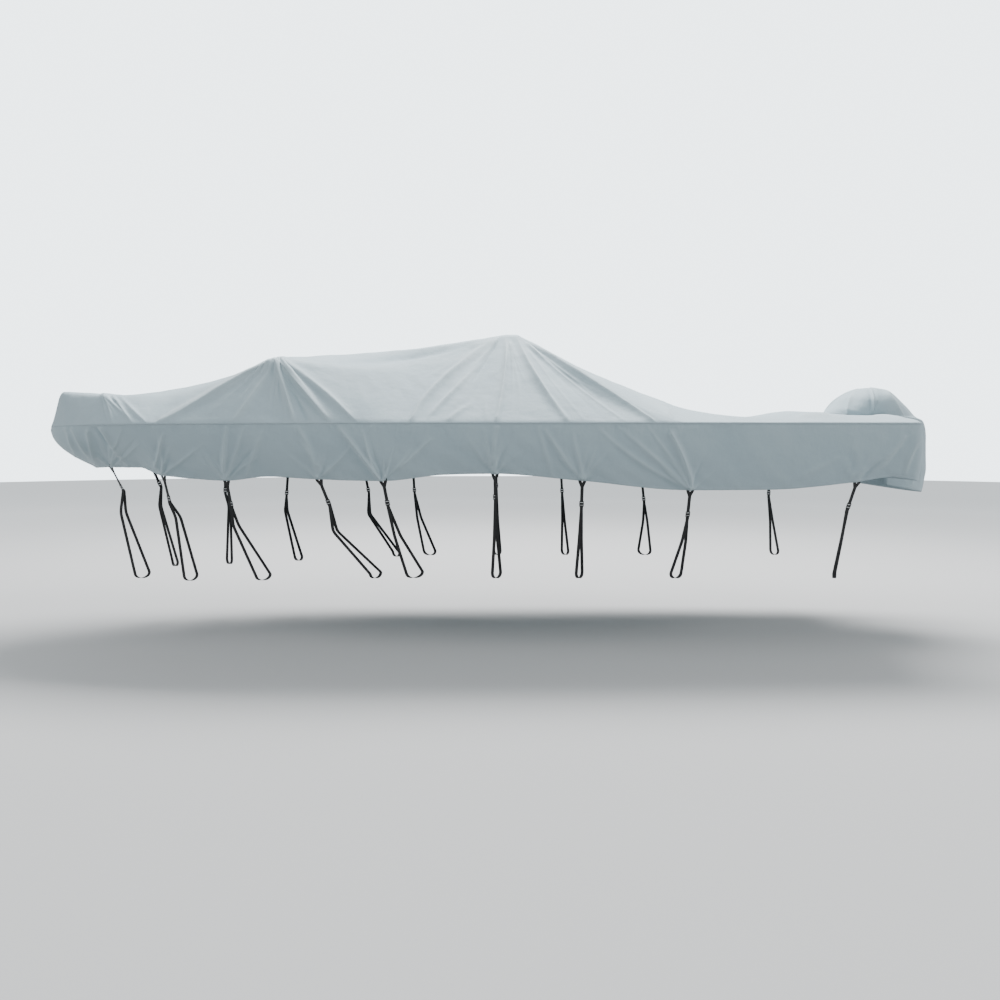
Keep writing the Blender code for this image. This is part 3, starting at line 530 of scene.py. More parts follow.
def abeam(points: Array) -> Array:
    """Where points of the cloth, mirrored to port, lie on the plane of the gunwale."""
    scale = (-HALF_BEAM - EYE_Y) / (-np.abs(points[..., 1]) - EYE_Y)
    across = EYE_X + (points[..., 0] - EYE_X) * scale
    return np.stack([across, EYE_Z + (points[..., 2] - EYE_Z) * scale], axis=-1)


@dataclass(frozen=True)
class FoldSet:
    """Drawn folds that raise and lower the cloth, and the slight unevenness between them."""

    folds: tuple[Fold, ...]
    seed: int
    strength: float = 1.0
    unevenness: float = 0.0030
    waves: int = 14
    longest_wave: float = 0.75
    shortest_wave: float = 0.11
    widest_turn: float = 0.9
    wave_fade: float = 0.8
    down_share: float = 0.45
    samples: int = 22
    reach: float = 3.5
    flank_width: float = 1.4
    crest_sharpness: float = 5.0
    crest_share: float = 0.50
    starboard_shift: float = 0.045
    shift_wave: tuple[float, float] = (3.1, 1.0)
    starboard_change: float = 0.35
    change_wave: tuple[float, float] = (2.3, 0.7)

    def beside(self, fold: Fold, place: Array) -> tuple[Array, Array, Array]:
        """How points lie to one fold.

        Args:
            fold: The fold.
            place: Points on the plane of the gunwale.

        Returns:
            The numbers of the points near the fold, how far along it each one is as a share, and
            its distance in half widths, squared.
        """
        at = np.linspace(0.0, 1.0, self.samples)[:, None]
        start, middle, end = np.array(fold[1:7]).reshape(3, 2)
        bend = 2.0 * middle - (start + end) / 2.0
        curve = (1 - at) ** 2 * start + 2 * at * (1 - at) * bend + at**2 * end
        reach = self.reach * fold.half_width
        inside = (place > curve.min(axis=0) - reach) & (place < curve.max(axis=0) + reach)
        near = np.flatnonzero(inside.all(axis=1))
        if not len(near):
            return near, near, near
        step = np.diff(curve, axis=0)
        offset = place[near][:, None, :] - curve[None, :-1]
        share = np.clip((offset * step).sum(axis=2) / (step * step).sum(axis=1), 0.0, 1.0)
        distance = np.linalg.norm(offset - share[..., None] * step, axis=2)
        best = distance.argmin(axis=1)
        rows = np.arange(len(near))
        along = (best + share[rows, best]) / (self.samples - 1)
        turn = step[best, 0] * offset[rows, best, 1] - step[best, 1] * offset[rows, best, 0]
        width = fold.half_width * (1.0 + fold.lean * np.sign(turn))
        return near, along, (distance[rows, best] / width) ** 2

    def rise(self, points: Array, side: Side) -> Array:
        """How far the folds lift each point of the cloth.

        Args:
            points: The cloth's points, as an array of any shape with x, y and z last.
            side: Their side. The starboard folds lie a little apart from the port ones.

        Returns:
            The lift of each point along its normal.
        """
        starboard = 1.0 if side is Side.STARBOARD else 0.0
        place = abeam(points).reshape(-1, 2)
        wave, phase = self.shift_wave
        place[:, 0] += starboard * self.starboard_shift * np.sin(wave * place[:, 0] + phase)
        wave, phase = self.change_wave
        total = np.zeros(len(place))
        for number, fold in enumerate(self.folds):
            near, along, apart = self.beside(fold, place)
            if not len(near):
                continue
            flank = (1.0 - 0.5 * apart) * np.exp(-apart / self.flank_width)
            crest = np.exp(-apart * self.crest_sharpness)
            height = smooth_between(along, (0.0, 0.5, 1.0), (fold.start, fold.middle, fold.end))
            height *= 1.0 + starboard * self.starboard_change * math.sin(wave * number + phase)
            total[near] += height * (self.crest_share * crest + (1.0 - self.crest_share) * flank)
        return self.strength * total.reshape(points.shape[:-1])

    def ripple(self, run: Array, down: Array) -> Array:
        """A slight, seeded unevenness of the cloth at lengths along and down a panel.

        Args:
            run: Each point's length along the panel.
            down: Its length down the panel.

        Returns:
            The lift of each point along its normal.
        """
        random = np.random.default_rng(self.seed)
        total = np.zeros_like(run)
        for wave in range(self.waves):
            share = wave / (self.waves - 1)
            length = self.longest_wave * (self.shortest_wave / self.longest_wave) ** share
            angle = random.uniform(-self.widest_turn, self.widest_turn)
            phase = random.uniform(0.0, 2.0 * math.pi)
            number = 2.0 * math.pi / length
            way = run * math.cos(angle) + self.down_share * down * math.sin(angle)
            total += (1.0 - self.wave_fade * share) * np.sin(number * way + phase)
        return total * self.unevenness / math.sqrt(self.waves)


# ---- Plan of the cover ----
@dataclass(frozen=True)
class CoverPlan:
    """The gunwale seam and the hem, seen from above."""

    bow_x: float = -4.33
    transom_x: float = 3.32
    half_beam: float = HALF_BEAM
    bow_entry: float = 3.4
    bow_fullness: float = 2.4
    bow_roundness: float = 0.67
    stern_taper: float = 0.07
    stern_taper_start: float = 0.5
    corner_radius: float = 0.07
    transom_crown: float = 0.08
    hem_bow_x: float = -3.91
    hem_tuck: float = 0.055
    hem_entry: float = 3.2

    def half_width(self, x: Array | float, start: float, entry: float, half: float) -> Array:
        """Half the width at x: a rounded entry, parallel sides, a taper and a round corner.

        Args:
            x: Where the width is wanted.
            start: The x of the stem.
            entry: The length over which the sides become parallel.
            half: Half the width between them.

        Returns:
            Half the width at each x.
        """
        share = np.clip((x - start) / entry, 0.0, 1.0)
        bow = (1.0 - (1.0 - share) ** self.bow_fullness) ** self.bow_roundness
        aft = (x - self.stern_taper_start) / (self.transom_x - self.stern_taper_start)
        turn = np.clip((x - self.transom_x) / self.corner_radius + 1.0, 0.0, 1.0)
        corner = self.corner_radius * (1.0 - np.sqrt(1.0 - turn**2))
        return half * bow - self.stern_taper * smooth_step(aft) - corner

    def seam_half(self, x: Array | float) -> Array:
        """Half the width of the gunwale seam at x."""
        return self.half_width(x, self.bow_x, self.bow_entry, self.half_beam)

    def hem_half(self, x: Array | float) -> Array:
        """Half the width of the hem at x."""
        half = self.half_beam - self.hem_tuck
        return self.half_width(x, self.hem_bow_x, self.hem_entry, half)

    def hem_drop(self, x: Array | float) -> Array:
        """How far the hem hangs below the seam at x."""
        return smooth_between(x, *zip(*HEM))

    def transom(self, y: Array) -> Array:
        """The x of the transom seam, crowned aft between its two corners."""
        share = np.clip(np.abs(y) / self.seam_half(self.transom_x), 0.0, 1.0)
        return self.transom_x + self.transom_crown * (1.0 - share**2)


# ---- Nodes ----
class NodeTree:
    """Adds nodes to one shader or geometry tree."""

    def __init__(self, tree: bpy.types.NodeTree) -> None:
        """Keeps the tree that the nodes go into."""
        self.tree = tree

    def node(
        self, kind: str, settings: dict | None = None, sockets: dict | None = None
    ) -> bpy.types.Node:
        """Adds a node.

        Args:
            kind: The node's type.
            settings: Its own properties, which are set first.
            sockets: The value or link of each named or numbered input.

        Returns:
            The new node.
        """
        node = self.tree.nodes.new(kind)
        for name, value in (settings or {}).items():
            setattr(node, name, value)
        for name, value in (sockets or {}).items():
            value = value.socket if isinstance(value, Value) else value
            if isinstance(value, bpy.types.NodeSocket):
                self.tree.links.new(value, node.inputs[name])
            else:
                node.inputs[name].default_value = value
        return node

    def value(
        self,
        kind: str,
        output: str | int,
        settings: dict | None = None,
        sockets: dict | None = None,
    ) -> "Value":
        """Adds a node and wraps one of its outputs for shader maths."""
        return Value(self, self.node(kind, settings, sockets).outputs[output])

    def feed(self, node: bpy.types.Node, name: str, value: "Value | bpy.types.NodeSocket") -> None:
        """Links a value to a named input of a node."""
        socket = value.socket if isinstance(value, Value) else value
        self.tree.links.new(socket, node.inputs[name])


class Value:
    """A socket with Python's operators, each of which adds its Math node."""

    def __init__(self, tree: NodeTree, socket: bpy.types.NodeSocket) -> None:
        """Wraps a socket of a tree."""
        self.tree = tree
        self.socket = socket

    def math(
        self, operation: str, first: "Value | float", second: "Value | float" = 0.0
    ) -> "Value":
        """Adds a Math node on two values."""
        settings = {"operation": operation}
        return self.tree.value("ShaderNodeMath", 0, settings, {0: first, 1: second})

    def __add__(self, other: "Value | float") -> "Value":
        """self + other."""
        return self.math("ADD", self, other)

    __radd__ = __add__

    def __sub__(self, other: "Value | float") -> "Value":
        """self - other."""
        return self.math("SUBTRACT", self, other)

    def __rsub__(self, other: float) -> "Value":
        """other - self."""
        return self.math("SUBTRACT", other, self)

    def __mul__(self, other: "Value | float") -> "Value":
        """self times other."""
        return self.math("MULTIPLY", self, other)

    __rmul__ = __mul__

    def sine(self) -> "Value":
        """The sine of the value."""
        return self.math("SINE", self)

    def absolute(self) -> "Value":
        """The value without its sign."""
        return self.math("ABSOLUTE", self)

    def clamped(self) -> "Value":
        """The value held between 0 and 1."""
        return self.math("MAXIMUM", self.math("MINIMUM", self, 1.0), 0.0)


class Finish:
    """A finish that dresses a Principled shader. Its noises are given as scale and detail."""

    def start(self, name: str) -> tuple[bpy.types.Material, NodeTree, bpy.types.Node]:
        """A new material, its tree and its shader."""
        material = bpy.data.materials.new(name)
        material.use_nodes = True
        return material, NodeTree(material.node_tree), material.node_tree.nodes["Principled BSDF"]

    def own_uv(self, tree: NodeTree, turns_per_metre: float) -> tuple[Value, Value]:
        """The piece's own lengths in metres, as angles of that many turns per metre."""
        uv = tree.node("ShaderNodeUVMap", {"uv_map": "cloth"}).outputs[0]
        apart = tree.node("ShaderNodeSeparateXYZ", None, {0: uv})
        factor = 2.0 * math.pi * turns_per_metre
        return Value(tree, apart.outputs[0]) * factor, Value(tree, apart.outputs[1]) * factor

    def noise(self, tree: NodeTree, scale: float, detail: float) -> Value:
        """Noise over the object's own coordinates, between -1 and 1."""
        place = tree.node("ShaderNodeTexCoord").outputs["Object"]
        sockets = {"Vector": place, "Scale": scale, "Detail": detail}
        return tree.value("ShaderNodeTexNoise", 0, None, sockets) * 2.0 - 1.0

    def bump(
        self,
        tree: NodeTree,
        height: Value,
        distance: float,
        below: bpy.types.NodeSocket | None = None,
    ) -> bpy.types.NodeSocket:
        """A Bump node, over another one if it is given."""
        sockets = {"Strength": 1.0, "Distance": distance, "Height": height}
        if below is not None:
            sockets["Normal"] = below
        return tree.node("ShaderNodeBump", None, sockets).outputs[0]

    def mix(self, tree: NodeTree, share: Value, low: tuple, high: tuple) -> bpy.types.NodeSocket:
        """A colour between two colours."""
        settings = {"data_type": "RGBA", "clamp_factor": True}
        sockets = {0: share, 6: (*low, 1.0), 7: (*high, 1.0)}
        return tree.node("ShaderNodeMix", settings, sockets).outputs[2]


@dataclass(frozen=True)
class WovenCloth(Finish):
    """Matt coated woven polyester. Its fold troughs carry painted shade and its crests painted
    light.
    """

    # The two ends of the cloth's colour range. The darker one is painted shade in fold troughs and
    # the darker mottling, the lighter one painted light on fold crests and the paler mottling.
    valley: tuple[float, float, float] = (0.249, 0.330, 0.373)
    crest: tuple[float, float, float] = (0.366, 0.440, 0.466)
    roughness: float = 0.78
    threads_per_metre: float = 620.0
    thread_height: float = 0.00010
    crinkle: tuple[float, float] = (7.0, 5.0)
    crinkle_height: float = 0.0050
    # How strongly fold height paints shade into troughs and light onto crests.
    painted_fold_shade: float = 0.28
    mottle: float = 0.17
    broad_mottle: tuple[float, float] = (1.6, 3.0)
    fine_mottle: tuple[float, float] = (9.0, 4.0)
    fine_share: float = 0.6
    weave_tone: float = 0.04
    wear: tuple[float, float] = (6.0, 3.0)
    wear_roughness: float = 0.05
    specular: float = 0.35
    sheen: float = 0.12
    sheen_roughness: float = 0.45

    def material(self, name: str) -> bpy.types.Material:
        """The cloth's material.

        Args:
            name: The material's name.

        Returns:
            The material.
        """
        material, tree, shader = self.start(name)
        fold = tree.value("ShaderNodeAttribute", "Fac", {"attribute_name": "fold"})
        mottle = self.noise(tree, *self.broad_mottle)
        mottle += self.noise(tree, *self.fine_mottle) * self.fine_share
        warp, weft = self.own_uv(tree, self.threads_per_metre)
        weave = warp.sine() * weft.sine()
        # Painted shade and light: the fold attribute darkens troughs and lightens crests, added to
        # the random mottling and the weave.
        tone = 0.5 + fold * self.painted_fold_shade + mottle * self.mottle + weave * self.weave_tone
        tree.feed(shader, "Base Color", self.mix(tree, tone, self.valley, self.crest))
        wear = self.noise(tree, *self.wear) * self.wear_roughness
        tree.feed(shader, "Roughness", wear + self.roughness)
        crinkle = self.bump(tree, self.noise(tree, *self.crinkle), self.crinkle_height)
        tree.feed(shader, "Normal", self.bump(tree, weave, self.thread_height, crinkle))
        shader.inputs["Specular IOR Level"].default_value = self.specular
        shader.inputs["Sheen Weight"].default_value = self.sheen
        shader.inputs["Sheen Roughness"].default_value = self.sheen_roughness
        return material


@dataclass(frozen=True)
class BlackWebbing(Finish):
    """Black polyester webbing with a herringbone weave and a little dust."""

    dark: tuple[float, float, float] = (0.007, 0.007, 0.008)
    dusty: tuple[float, float, float] = (0.022, 0.022, 0.024)
    roughness: float = 0.82
    picks_per_metre: float = 480.0
    chevrons_per_metre: float = 148.0
    pick_height: float = 0.00022
    chevron_depth: float = 4.0
    dust: tuple[float, float] = (22.0, 4.0)
    dust_middle: float = 0.35
    dust_spread: float = 0.35
    dust_on_ridges: float = 0.12
    sheen: float = 0.06

    def material(self, name: str) -> bpy.types.Material:
        """The webbing's material.

        Args:
            name: The material's name.

        Returns:
            The material.
        """
        material, tree, shader = self.start(name)
        along, _ = self.own_uv(tree, self.picks_per_metre)
        _, across = self.own_uv(tree, self.chevrons_per_metre)
        ridges = (along + across.sine().absolute() * self.chevron_depth).sine()
        dust = self.noise(tree, *self.dust) * self.dust_spread + self.dust_middle
        dust = dust + ridges * self.dust_on_ridges
        tree.feed(shader, "Base Color", self.mix(tree, dust, self.dark, self.dusty))
        tree.feed(shader, "Normal", self.bump(tree, ridges, self.pick_height))
        shader.inputs["Roughness"].default_value = self.roughness
        shader.inputs["Sheen Weight"].default_value = self.sheen
        return material


@dataclass(frozen=True)
class MouldedPlastic(Finish):
    """Satin black moulded plastic."""

    clean: tuple[float, float, float] = (0.012, 0.012, 0.014)
    scuffed: tuple[float, float, float] = (0.034, 0.034, 0.036)
    roughness: float = 0.42
    scuffs: tuple[float, float] = (90.0, 4.0)
    scuff_share: float = 0.7
    scuff_roughness: float = 0.25
    grain: tuple[float, float] = (900.0, 2.0)
    grain_height: float = 0.00004

    def material(self, name: str) -> bpy.types.Material:
        """The plastic's material.

        Args:
            name: The material's name.

        Returns:
            The material.
        """
        material, tree, shader = self.start(name)
        scuffs = (self.noise(tree, *self.scuffs) * self.scuff_share).clamped()
        tree.feed(shader, "Base Color", self.mix(tree, scuffs, self.clean, self.scuffed))
        tree.feed(shader, "Roughness", scuffs * self.scuff_roughness + self.roughness)
        grain = self.noise(tree, *self.grain)
        tree.feed(shader, "Normal", self.bump(tree, grain, self.grain_height))
        return material


@dataclass(frozen=True)
class SewingThread(Finish):
    """Polyester sewing thread, twisted."""

    colour: tuple[float, float, float] = (0.52, 0.56, 0.58)
    shade: tuple[float, float, float] = (0.34, 0.38, 0.40)
    roughness: float = 0.6
    fibres: tuple[float, float] = (260.0, 2.0)

    def material(self, name: str) -> bpy.types.Material:
        """The thread's material.

        Args:
            name: The material's name.

        Returns:
            The material.
        """
        material, tree, shader = self.start(name)
        tone = self.noise(tree, *self.fibres) * 0.5 + 0.5
        tree.feed(shader, "Base Color", self.mix(tree, tone, self.shade, self.colour))
        shader.inputs["Roughness"].default_value = self.roughness
        return material


@dataclass(frozen=True)
class FloorWithPaintedLight(Finish):
    """Matt floor, darker near the cover as painted shade and paler away from it as painted light,
    where less light falls on the floor.
    """

    # Painted light: the floor is darker near the cover and paler far from it, where less lamp light
    # reaches.
    near: tuple[float, float, float] = (0.39, 0.39, 0.39)
    far: tuple[float, float, float] = (0.82, 0.82, 0.82)
    painted_light_ramp: tuple[float, float] = (4.0, 18.0)
    roughness: float = 0.9

    def material(self, name: str) -> bpy.types.Material:
        """The paint's material.

        Args:
            name: The material's name.

        Returns:
            The material.
        """
        material, tree, shader = self.start(name)
        place = tree.node("ShaderNodeTexCoord").outputs["Object"]
        length = {"operation": "LENGTH"}
        distance = tree.value("ShaderNodeVectorMath", "Value", length, {0: place})
        start, end = self.painted_light_ramp
        share = (distance * (1.0 / (end - start)) - start / (end - start)).clamped()
        tree.feed(shader, "Base Color", self.mix(tree, share, self.near, self.far))
        shader.inputs["Roughness"].default_value = self.roughness
        return material


# ---- Meshes ----
def grid_mesh(
    name: str, grid: Array, uv: Array, fold: Array, merge: bool = True
) -> bpy.types.Mesh:
    """A smooth mesh of a grid of points, facing along its first axis crossed with its second.

    Args:
        name: The mesh's name.
        grid: The points, as columns of rows, in heights above the gunwale seam.
        uv: Lengths along and across the cloth at each point, in metres.
        fold: The folds' height at each point, from -1 in a trough to 1 on a crest, which the
            cloth's material paints as shade and light.
        merge: Whether points at the same place become one.

    Returns:
        The mesh, with its UV map and its fold attribute.
    """
    columns, rows = grid.shape[:2]
    index = np.arange(columns * rows).reshape(columns, rows)
    quads = np.stack([index[:-1, :-1], index[1:, :-1], index[1:, 1:], index[:-1, 1:]], axis=-1)
    points = grid.reshape(-1, 3) - ORIGIN
    mesh = bpy.data.meshes.new(name)
    mesh.from_pydata(points.tolist(), [], quads.reshape(-1, 4).tolist())
    layer = mesh.uv_layers.new(name="cloth")
    layer.data.foreach_set("uv", uv.reshape(-1, 2)[quads.reshape(-1)].ravel())
    tone = mesh.attributes.new("fold", "FLOAT", "POINT")
    tone.data.foreach_set("value", np.clip(fold, -1.0, 1.0).ravel())
    if merge:
        merge_doubles(mesh)
    mesh.shade_smooth()
    return mesh


def write_shape(shape: bmesh.types.BMesh, mesh: bpy.types.Mesh) -> bpy.types.Mesh:
    """Writes a shape to a mesh and frees it."""
    shape.to_mesh(mesh)
    shape.free()
    return mesh


def merge_doubles(mesh: bpy.types.Mesh) -> None:
    """Makes points at the same place one."""
    shape = bmesh.new()
    shape.from_mesh(mesh)
    bmesh.ops.remove_doubles(shape, verts=shape.verts, dist=SAME_PLACE)
    write_shape(shape, mesh)


def add_object(name: str, data: bpy.types.ID) -> bpy.types.Object:
    """Adds an object at the origin to the scene."""
    item = bpy.data.objects.new(name, data)
    bpy.context.scene.collection.objects.link(item)
    return item


def piece(name: str, mesh: bpy.types.Mesh, material: bpy.types.Material) -> bpy.types.Object:
    """Adds an object at the origin with one material."""
    mesh.materials.clear()
    mesh.materials.append(material)
    return add_object(name, mesh)


def thicken(item: bpy.types.Object, thickness: float) -> None:
    """Gives a sheet its thickness, inwards from its outer face."""
    wall = item.modifiers.new("Cloth thickness", "SOLIDIFY")
    wall.thickness = thickness
    wall.offset = -1.0


def declare(item: bpy.types.Object, slot: Slot, *nodes: str) -> None:
    """Makes a piece ride on the cover's body and stand for CAD nodes.

    Args:
        item: The piece.
        slot: Its slot. Not used.
        nodes: The CAD nodes it stands for.
    """
    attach(item, BODY)
    if nodes:
        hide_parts(*nodes)
    LOG.info("%s: %d faces", item.name, len(item.data.polygons))


def sheet_area(grid: Array) -> float:
    """The area of one face of a grid of points."""
    one = np.cross(grid[1:, :-1] - grid[:-1, :-1], grid[:-1, 1:] - grid[:-1, :-1])
    two = np.cross(grid[1:, :-1] - grid[1:, 1:], grid[:-1, 1:] - grid[1:, 1:])
    return float((np.linalg.norm(one, axis=-1).sum() + np.linalg.norm(two, axis=-1).sum()) / 2.0)


class Sheet(NamedTuple):
    """A finished cloth piece, its flat size and its area."""

    item: bpy.types.Object
    flat: tuple[float, float]
    area: float

    def report(self) -> None:
        """Logs the sheet's flat size and area."""
        LOG.info("%s: %.3f x %.3f m, %.3f m2", self.item.name, *self.flat, self.area)


@dataclass(frozen=True)
class StitchRow:
    """Rows of lockstitch that follow lines on the cloth."""

    pitch: float = 0.0046
    stitch_length: float = 0.0034
    thread_radius: float = 0.00045
    smallest: tuple[float, float, float] = (0.85, 0.85, 0.85)
    largest: tuple[float, float, float] = (1.15, 1.15, 1.06)
    seed: int = 5

    def tree(self, material: bpy.types.Material) -> bpy.types.NodeTree:
        """The geometry nodes that turn a line into stitches.

        Args:
            material: The thread's material.

        Returns:
            The tree, with named sizes.
        """
        group = bpy.data.node_groups.new("stitch_row", "GeometryNodeTree")
        group.is_modifier = True
        group.interface.new_socket("Geometry", in_out="INPUT", socket_type="NodeSocketGeometry")
        for name in ("Pitch", "Stitch length", "Thread radius"):
            group.interface.new_socket(name, in_out="INPUT", socket_type="NodeSocketFloat")
        group.interface.new_socket("Seed", in_out="INPUT", socket_type="NodeSocketInt")
        group.interface.new_socket("Geometry", in_out="OUTPUT", socket_type="NodeSocketGeometry")
        tree = NodeTree(group)
        given = tree.node("NodeGroupInput").outputs
        line = tree.node("GeometryNodeMeshToCurve", None, {"Mesh": given["Geometry"]}).outputs[0]
        sockets = {"Curve": line, "Length": given["Pitch"]}
        even = tree.node("GeometryNodeResampleCurve", {"mode": "LENGTH"}, sockets).outputs[0]
        sockets = {"Vertices": 4, "Radius": given["Thread radius"], "Depth": given["Stitch length"]}
        stitch = tree.node("GeometryNodeMeshCylinder", None, sockets).outputs["Mesh"]
        tangent = tree.node("GeometryNodeInputTangent").outputs[0]
        turn = tree.node("FunctionNodeAlignRotationToVector", {"axis": "Z"}, {"Vector": tangent})
        vector = {"data_type": "FLOAT_VECTOR"}
        sockets = {0: self.smallest, 1: self.largest, "Seed": given["Seed"]}
        size = tree.node("FunctionNodeRandomValue", vector, sockets).outputs[0]
        sockets = {"Points": even, "Instance": stitch, "Rotation": turn.outputs[0], "Scale": size}
        placed = tree.node("GeometryNodeInstanceOnPoints", None, sockets).outputs[0]
        real = tree.node("GeometryNodeRealizeInstances", None, {0: placed}).outputs[0]
        sockets = {"Geometry": real, "Material": material}
        dressed = tree.node("GeometryNodeSetMaterial", None, sockets).outputs[0]
        tree.node("NodeGroupOutput", None, {0: dressed})
        return group

    def sew(
        self, name: str, lines: Sequence[Array], material: bpy.types.Material
    ) -> bpy.types.Object:
        """Stitches along lines.

        Args:
            name: The piece's name.
            lines: Polylines on the cloth's outer face, in heights above the gunwale seam.
            material: The thread's material.

        Returns:
            The finished stitches as one plain mesh object.
        """
        points: list[Array] = []
        edges: list[tuple[int, int]] = []
        for line in lines:
            first = len(points)
            points += list(line - ORIGIN)
            edges += [(first + i, first + i + 1) for i in range(len(line) - 1)]
        mesh = bpy.data.meshes.new(name)
        mesh.from_pydata([tuple(point) for point in points], edges, [])
        item = add_object(name, mesh)
        group = self.tree(material)
        rows = item.modifiers.new("Stitches", "NODES")
        rows.node_group = group
        sizes = {
            "Pitch": self.pitch,
            "Stitch length": self.stitch_length,
            "Thread radius": self.thread_radius,
            "Seed": self.seed,
        }
        for socket in group.interface.items_tree:
            if socket.name in sizes:
                rows[socket.identifier] = sizes[socket.name]
        graph = bpy.context.evaluated_depsgraph_get()
        result = bpy.data.meshes.new_from_object(item.evaluated_get(graph), depsgraph=graph)
        result.name = name
        item.modifiers.clear()
        item.data = result
        bpy.data.meshes.remove(mesh)
        return item


# ---- Deck panel ----
@dataclass
class DeckPanel:
    """The whole top of the cover, from the bow over its three peaks to the transom."""

    plan: CoverPlan
    cloth: bpy.types.Material
    bow_edge_end: float = -4.225
    shoulder_rounding: float = 0.22
    crease_sharpness: float = 0.60
    fold_skew: float = 1.5
    notch_front_x: float = 2.963
    notch_side_x: float = 3.235
    notch_front_z: float = 0.120
    notch_side_z: float = 0.082
    notch_half_width: float = 0.33
    stern_edge_curl: float = 0.6
    starboard_shift: float = 0.045
    starboard_wave: float = 5.0
    wander_from_x: float = -3.6
    wander_to_x: float = 2.6
    starboard_fold: float = 0.30
    fold_wave: float = 1.7
    fold_strength: float = 1.6
    fan_seed: int = 7
    ripple_seed: int = 11
    bow_samples: int = 400
    bow_columns: int = 6
    fewest_columns: int = 4
    coarse_rows: int = 11
    notch_rows: int = 4
    rows_per_coarse: int = 3
    crease_rounding: int = 5
    seam_fade: float = 0.035
    # The lap lies beyond the panel's own width on the UV map.
    lap_uv: float = 2.0
    lap_uv_step: float = 0.006

    @property
    def across(self) -> Array:
        """The rows of one side, 0 at the ridge and 1 at the seam."""
        return np.linspace(0.0, 1.0, self.coarse_rows * self.rows_per_coarse + 1)

    def soft_ramp(self, value: Array, rounding: float) -> Array:
        """0 below zero and the value itself above it, with a rounded corner, and 1 at 1.

        Args:
            value: Values up to 1.
            rounding: The width of the rounded corner.

        Returns:
            The ramp at each value.
        """

        def rounded(x: Array | float) -> Array:
            """The ramp before it is scaled."""
            return 0.5 * (x + np.sqrt(x * x + rounding**2))

        return (rounded(value) - rounded(-1.0)) / (rounded(1.0) - rounded(-1.0))

    def fold_spread(self) -> Array:
        """Folds start at the ridge, are fullest past the shoulder and flatten at the seam."""
        return np.sin(math.pi * self.across**self.fold_skew)

    def rib_points(self, number: int, side: Side) -> Array:
        """One rib on one side of the deck.

        Args:
            number: The rib's row in the table.
            side: The side of the deck.

        Returns:
            The rib's points from ridge to seam, mirrored to starboard.
        """
        rib = RIBS[number]
        starboard = 1.0 if side is Side.STARBOARD else 0.0
        from_bow = smooth_step(rib.seam_x - self.wander_from_x)
        in_the_middle = from_bow * smooth_step(self.wander_to_x - rib.seam_x)
        wander = math.sin(self.starboard_wave * rib.seam_x) * in_the_middle
        change = self.starboard_fold * math.sin(self.fold_wave * number)
        fold = rib.fold * (1.0 + starboard * change)
        seam_x = rib.seam_x + starboard * self.starboard_shift * wander
        ridge = np.array([rib.ridge_x, 0.0, rib.ridge_z])
        shoulder = np.array([rib.shoulder_x, rib.shoulder_y, rib.shoulder_z])
        seam = np.array([seam_x, self.plan.seam_half(seam_x), 0.0])
        rounding = self.shoulder_rounding * (1.0 - self.crease_sharpness * rib.crease)
        inner = self.soft_ramp(1.0 - 2.0 * self.across, rounding)[:, None]
        outer = self.soft_ramp(2.0 * self.across - 1.0, rounding)[:, None]
        points = shoulder + (ridge - shoulder) * inner + (seam - shoulder) * outer
        points[:, 2] += fold * self.fold_spread()
        return points

    def bow_edge(self) -> Array:
        """The seam round the bow, from the stem to the first columns of the deck."""
        x = np.linspace(self.plan.bow_x, self.bow_edge_end, self.bow_samples)
        y = self.plan.seam_half(self.bow_edge_end) * self.across
        return np.stack([np.interp(y, self.plan.seam_half(x), x), y, np.zeros_like(y)], axis=1)

    def stern_edge(self) -> Array:
        """The aft edge: round the hood, aft along its side, then on the transom to the corner."""
        round_hood = self.notch_rows / self.coarse_rows
        along_hood = (self.notch_rows + 1) / self.coarse_rows
        across = self.across
        turn = np.clip(across / round_hood, 0.0, 1.0) * math.pi / 2
        on_transom = np.clip((across - along_hood) / (1.0 - along_hood), 0.0, 1.0)
        aft = np.clip((across - round_hood) / (along_hood - round_hood), 0.0, 1.0)
        half = self.plan.seam_half(self.plan.transom_x)
        notch_x = self.notch_side_x - (self.notch_side_x - self.notch_front_x) * np.cos(turn)
        transom_y = self.notch_half_width + (half - self.notch_half_width) * on_transom
        y = np.where(across < round_hood, self.notch_half_width * np.sin(turn), transom_y)
        reach = self.plan.transom(np.array(self.notch_half_width)) - notch_x
        x = np.where(across < along_hood, notch_x + reach * aft, self.plan.transom(y))
        drop = self.notch_front_z - self.notch_side_z
        notch_z = self.notch_side_z + drop * np.cos(turn) ** 2
        transom_z = self.notch_side_z * (1.0 - on_transom) ** self.stern_edge_curl
        z = np.where(across < round_hood, notch_z, transom_z)
        return np.stack([x, y, z], axis=1)

    def column_counts(self) -> list[int]:
        """How many mesh columns lie between each rib and the next, the same on both sides."""
        lines = [self.rib_points(number, Side.PORT) for number in range(len(RIBS))]
        lines.append(self.stern_edge())
        counts = []
        for rib, start, end in zip(RIBS, lines, lines[1:]):
            span = np.linalg.norm(end - start, axis=1)[[len(start) // 2, -1]]
            counts.append(max(self.fewest_columns, round(float(span.max()) / rib.pitch)))
        return counts

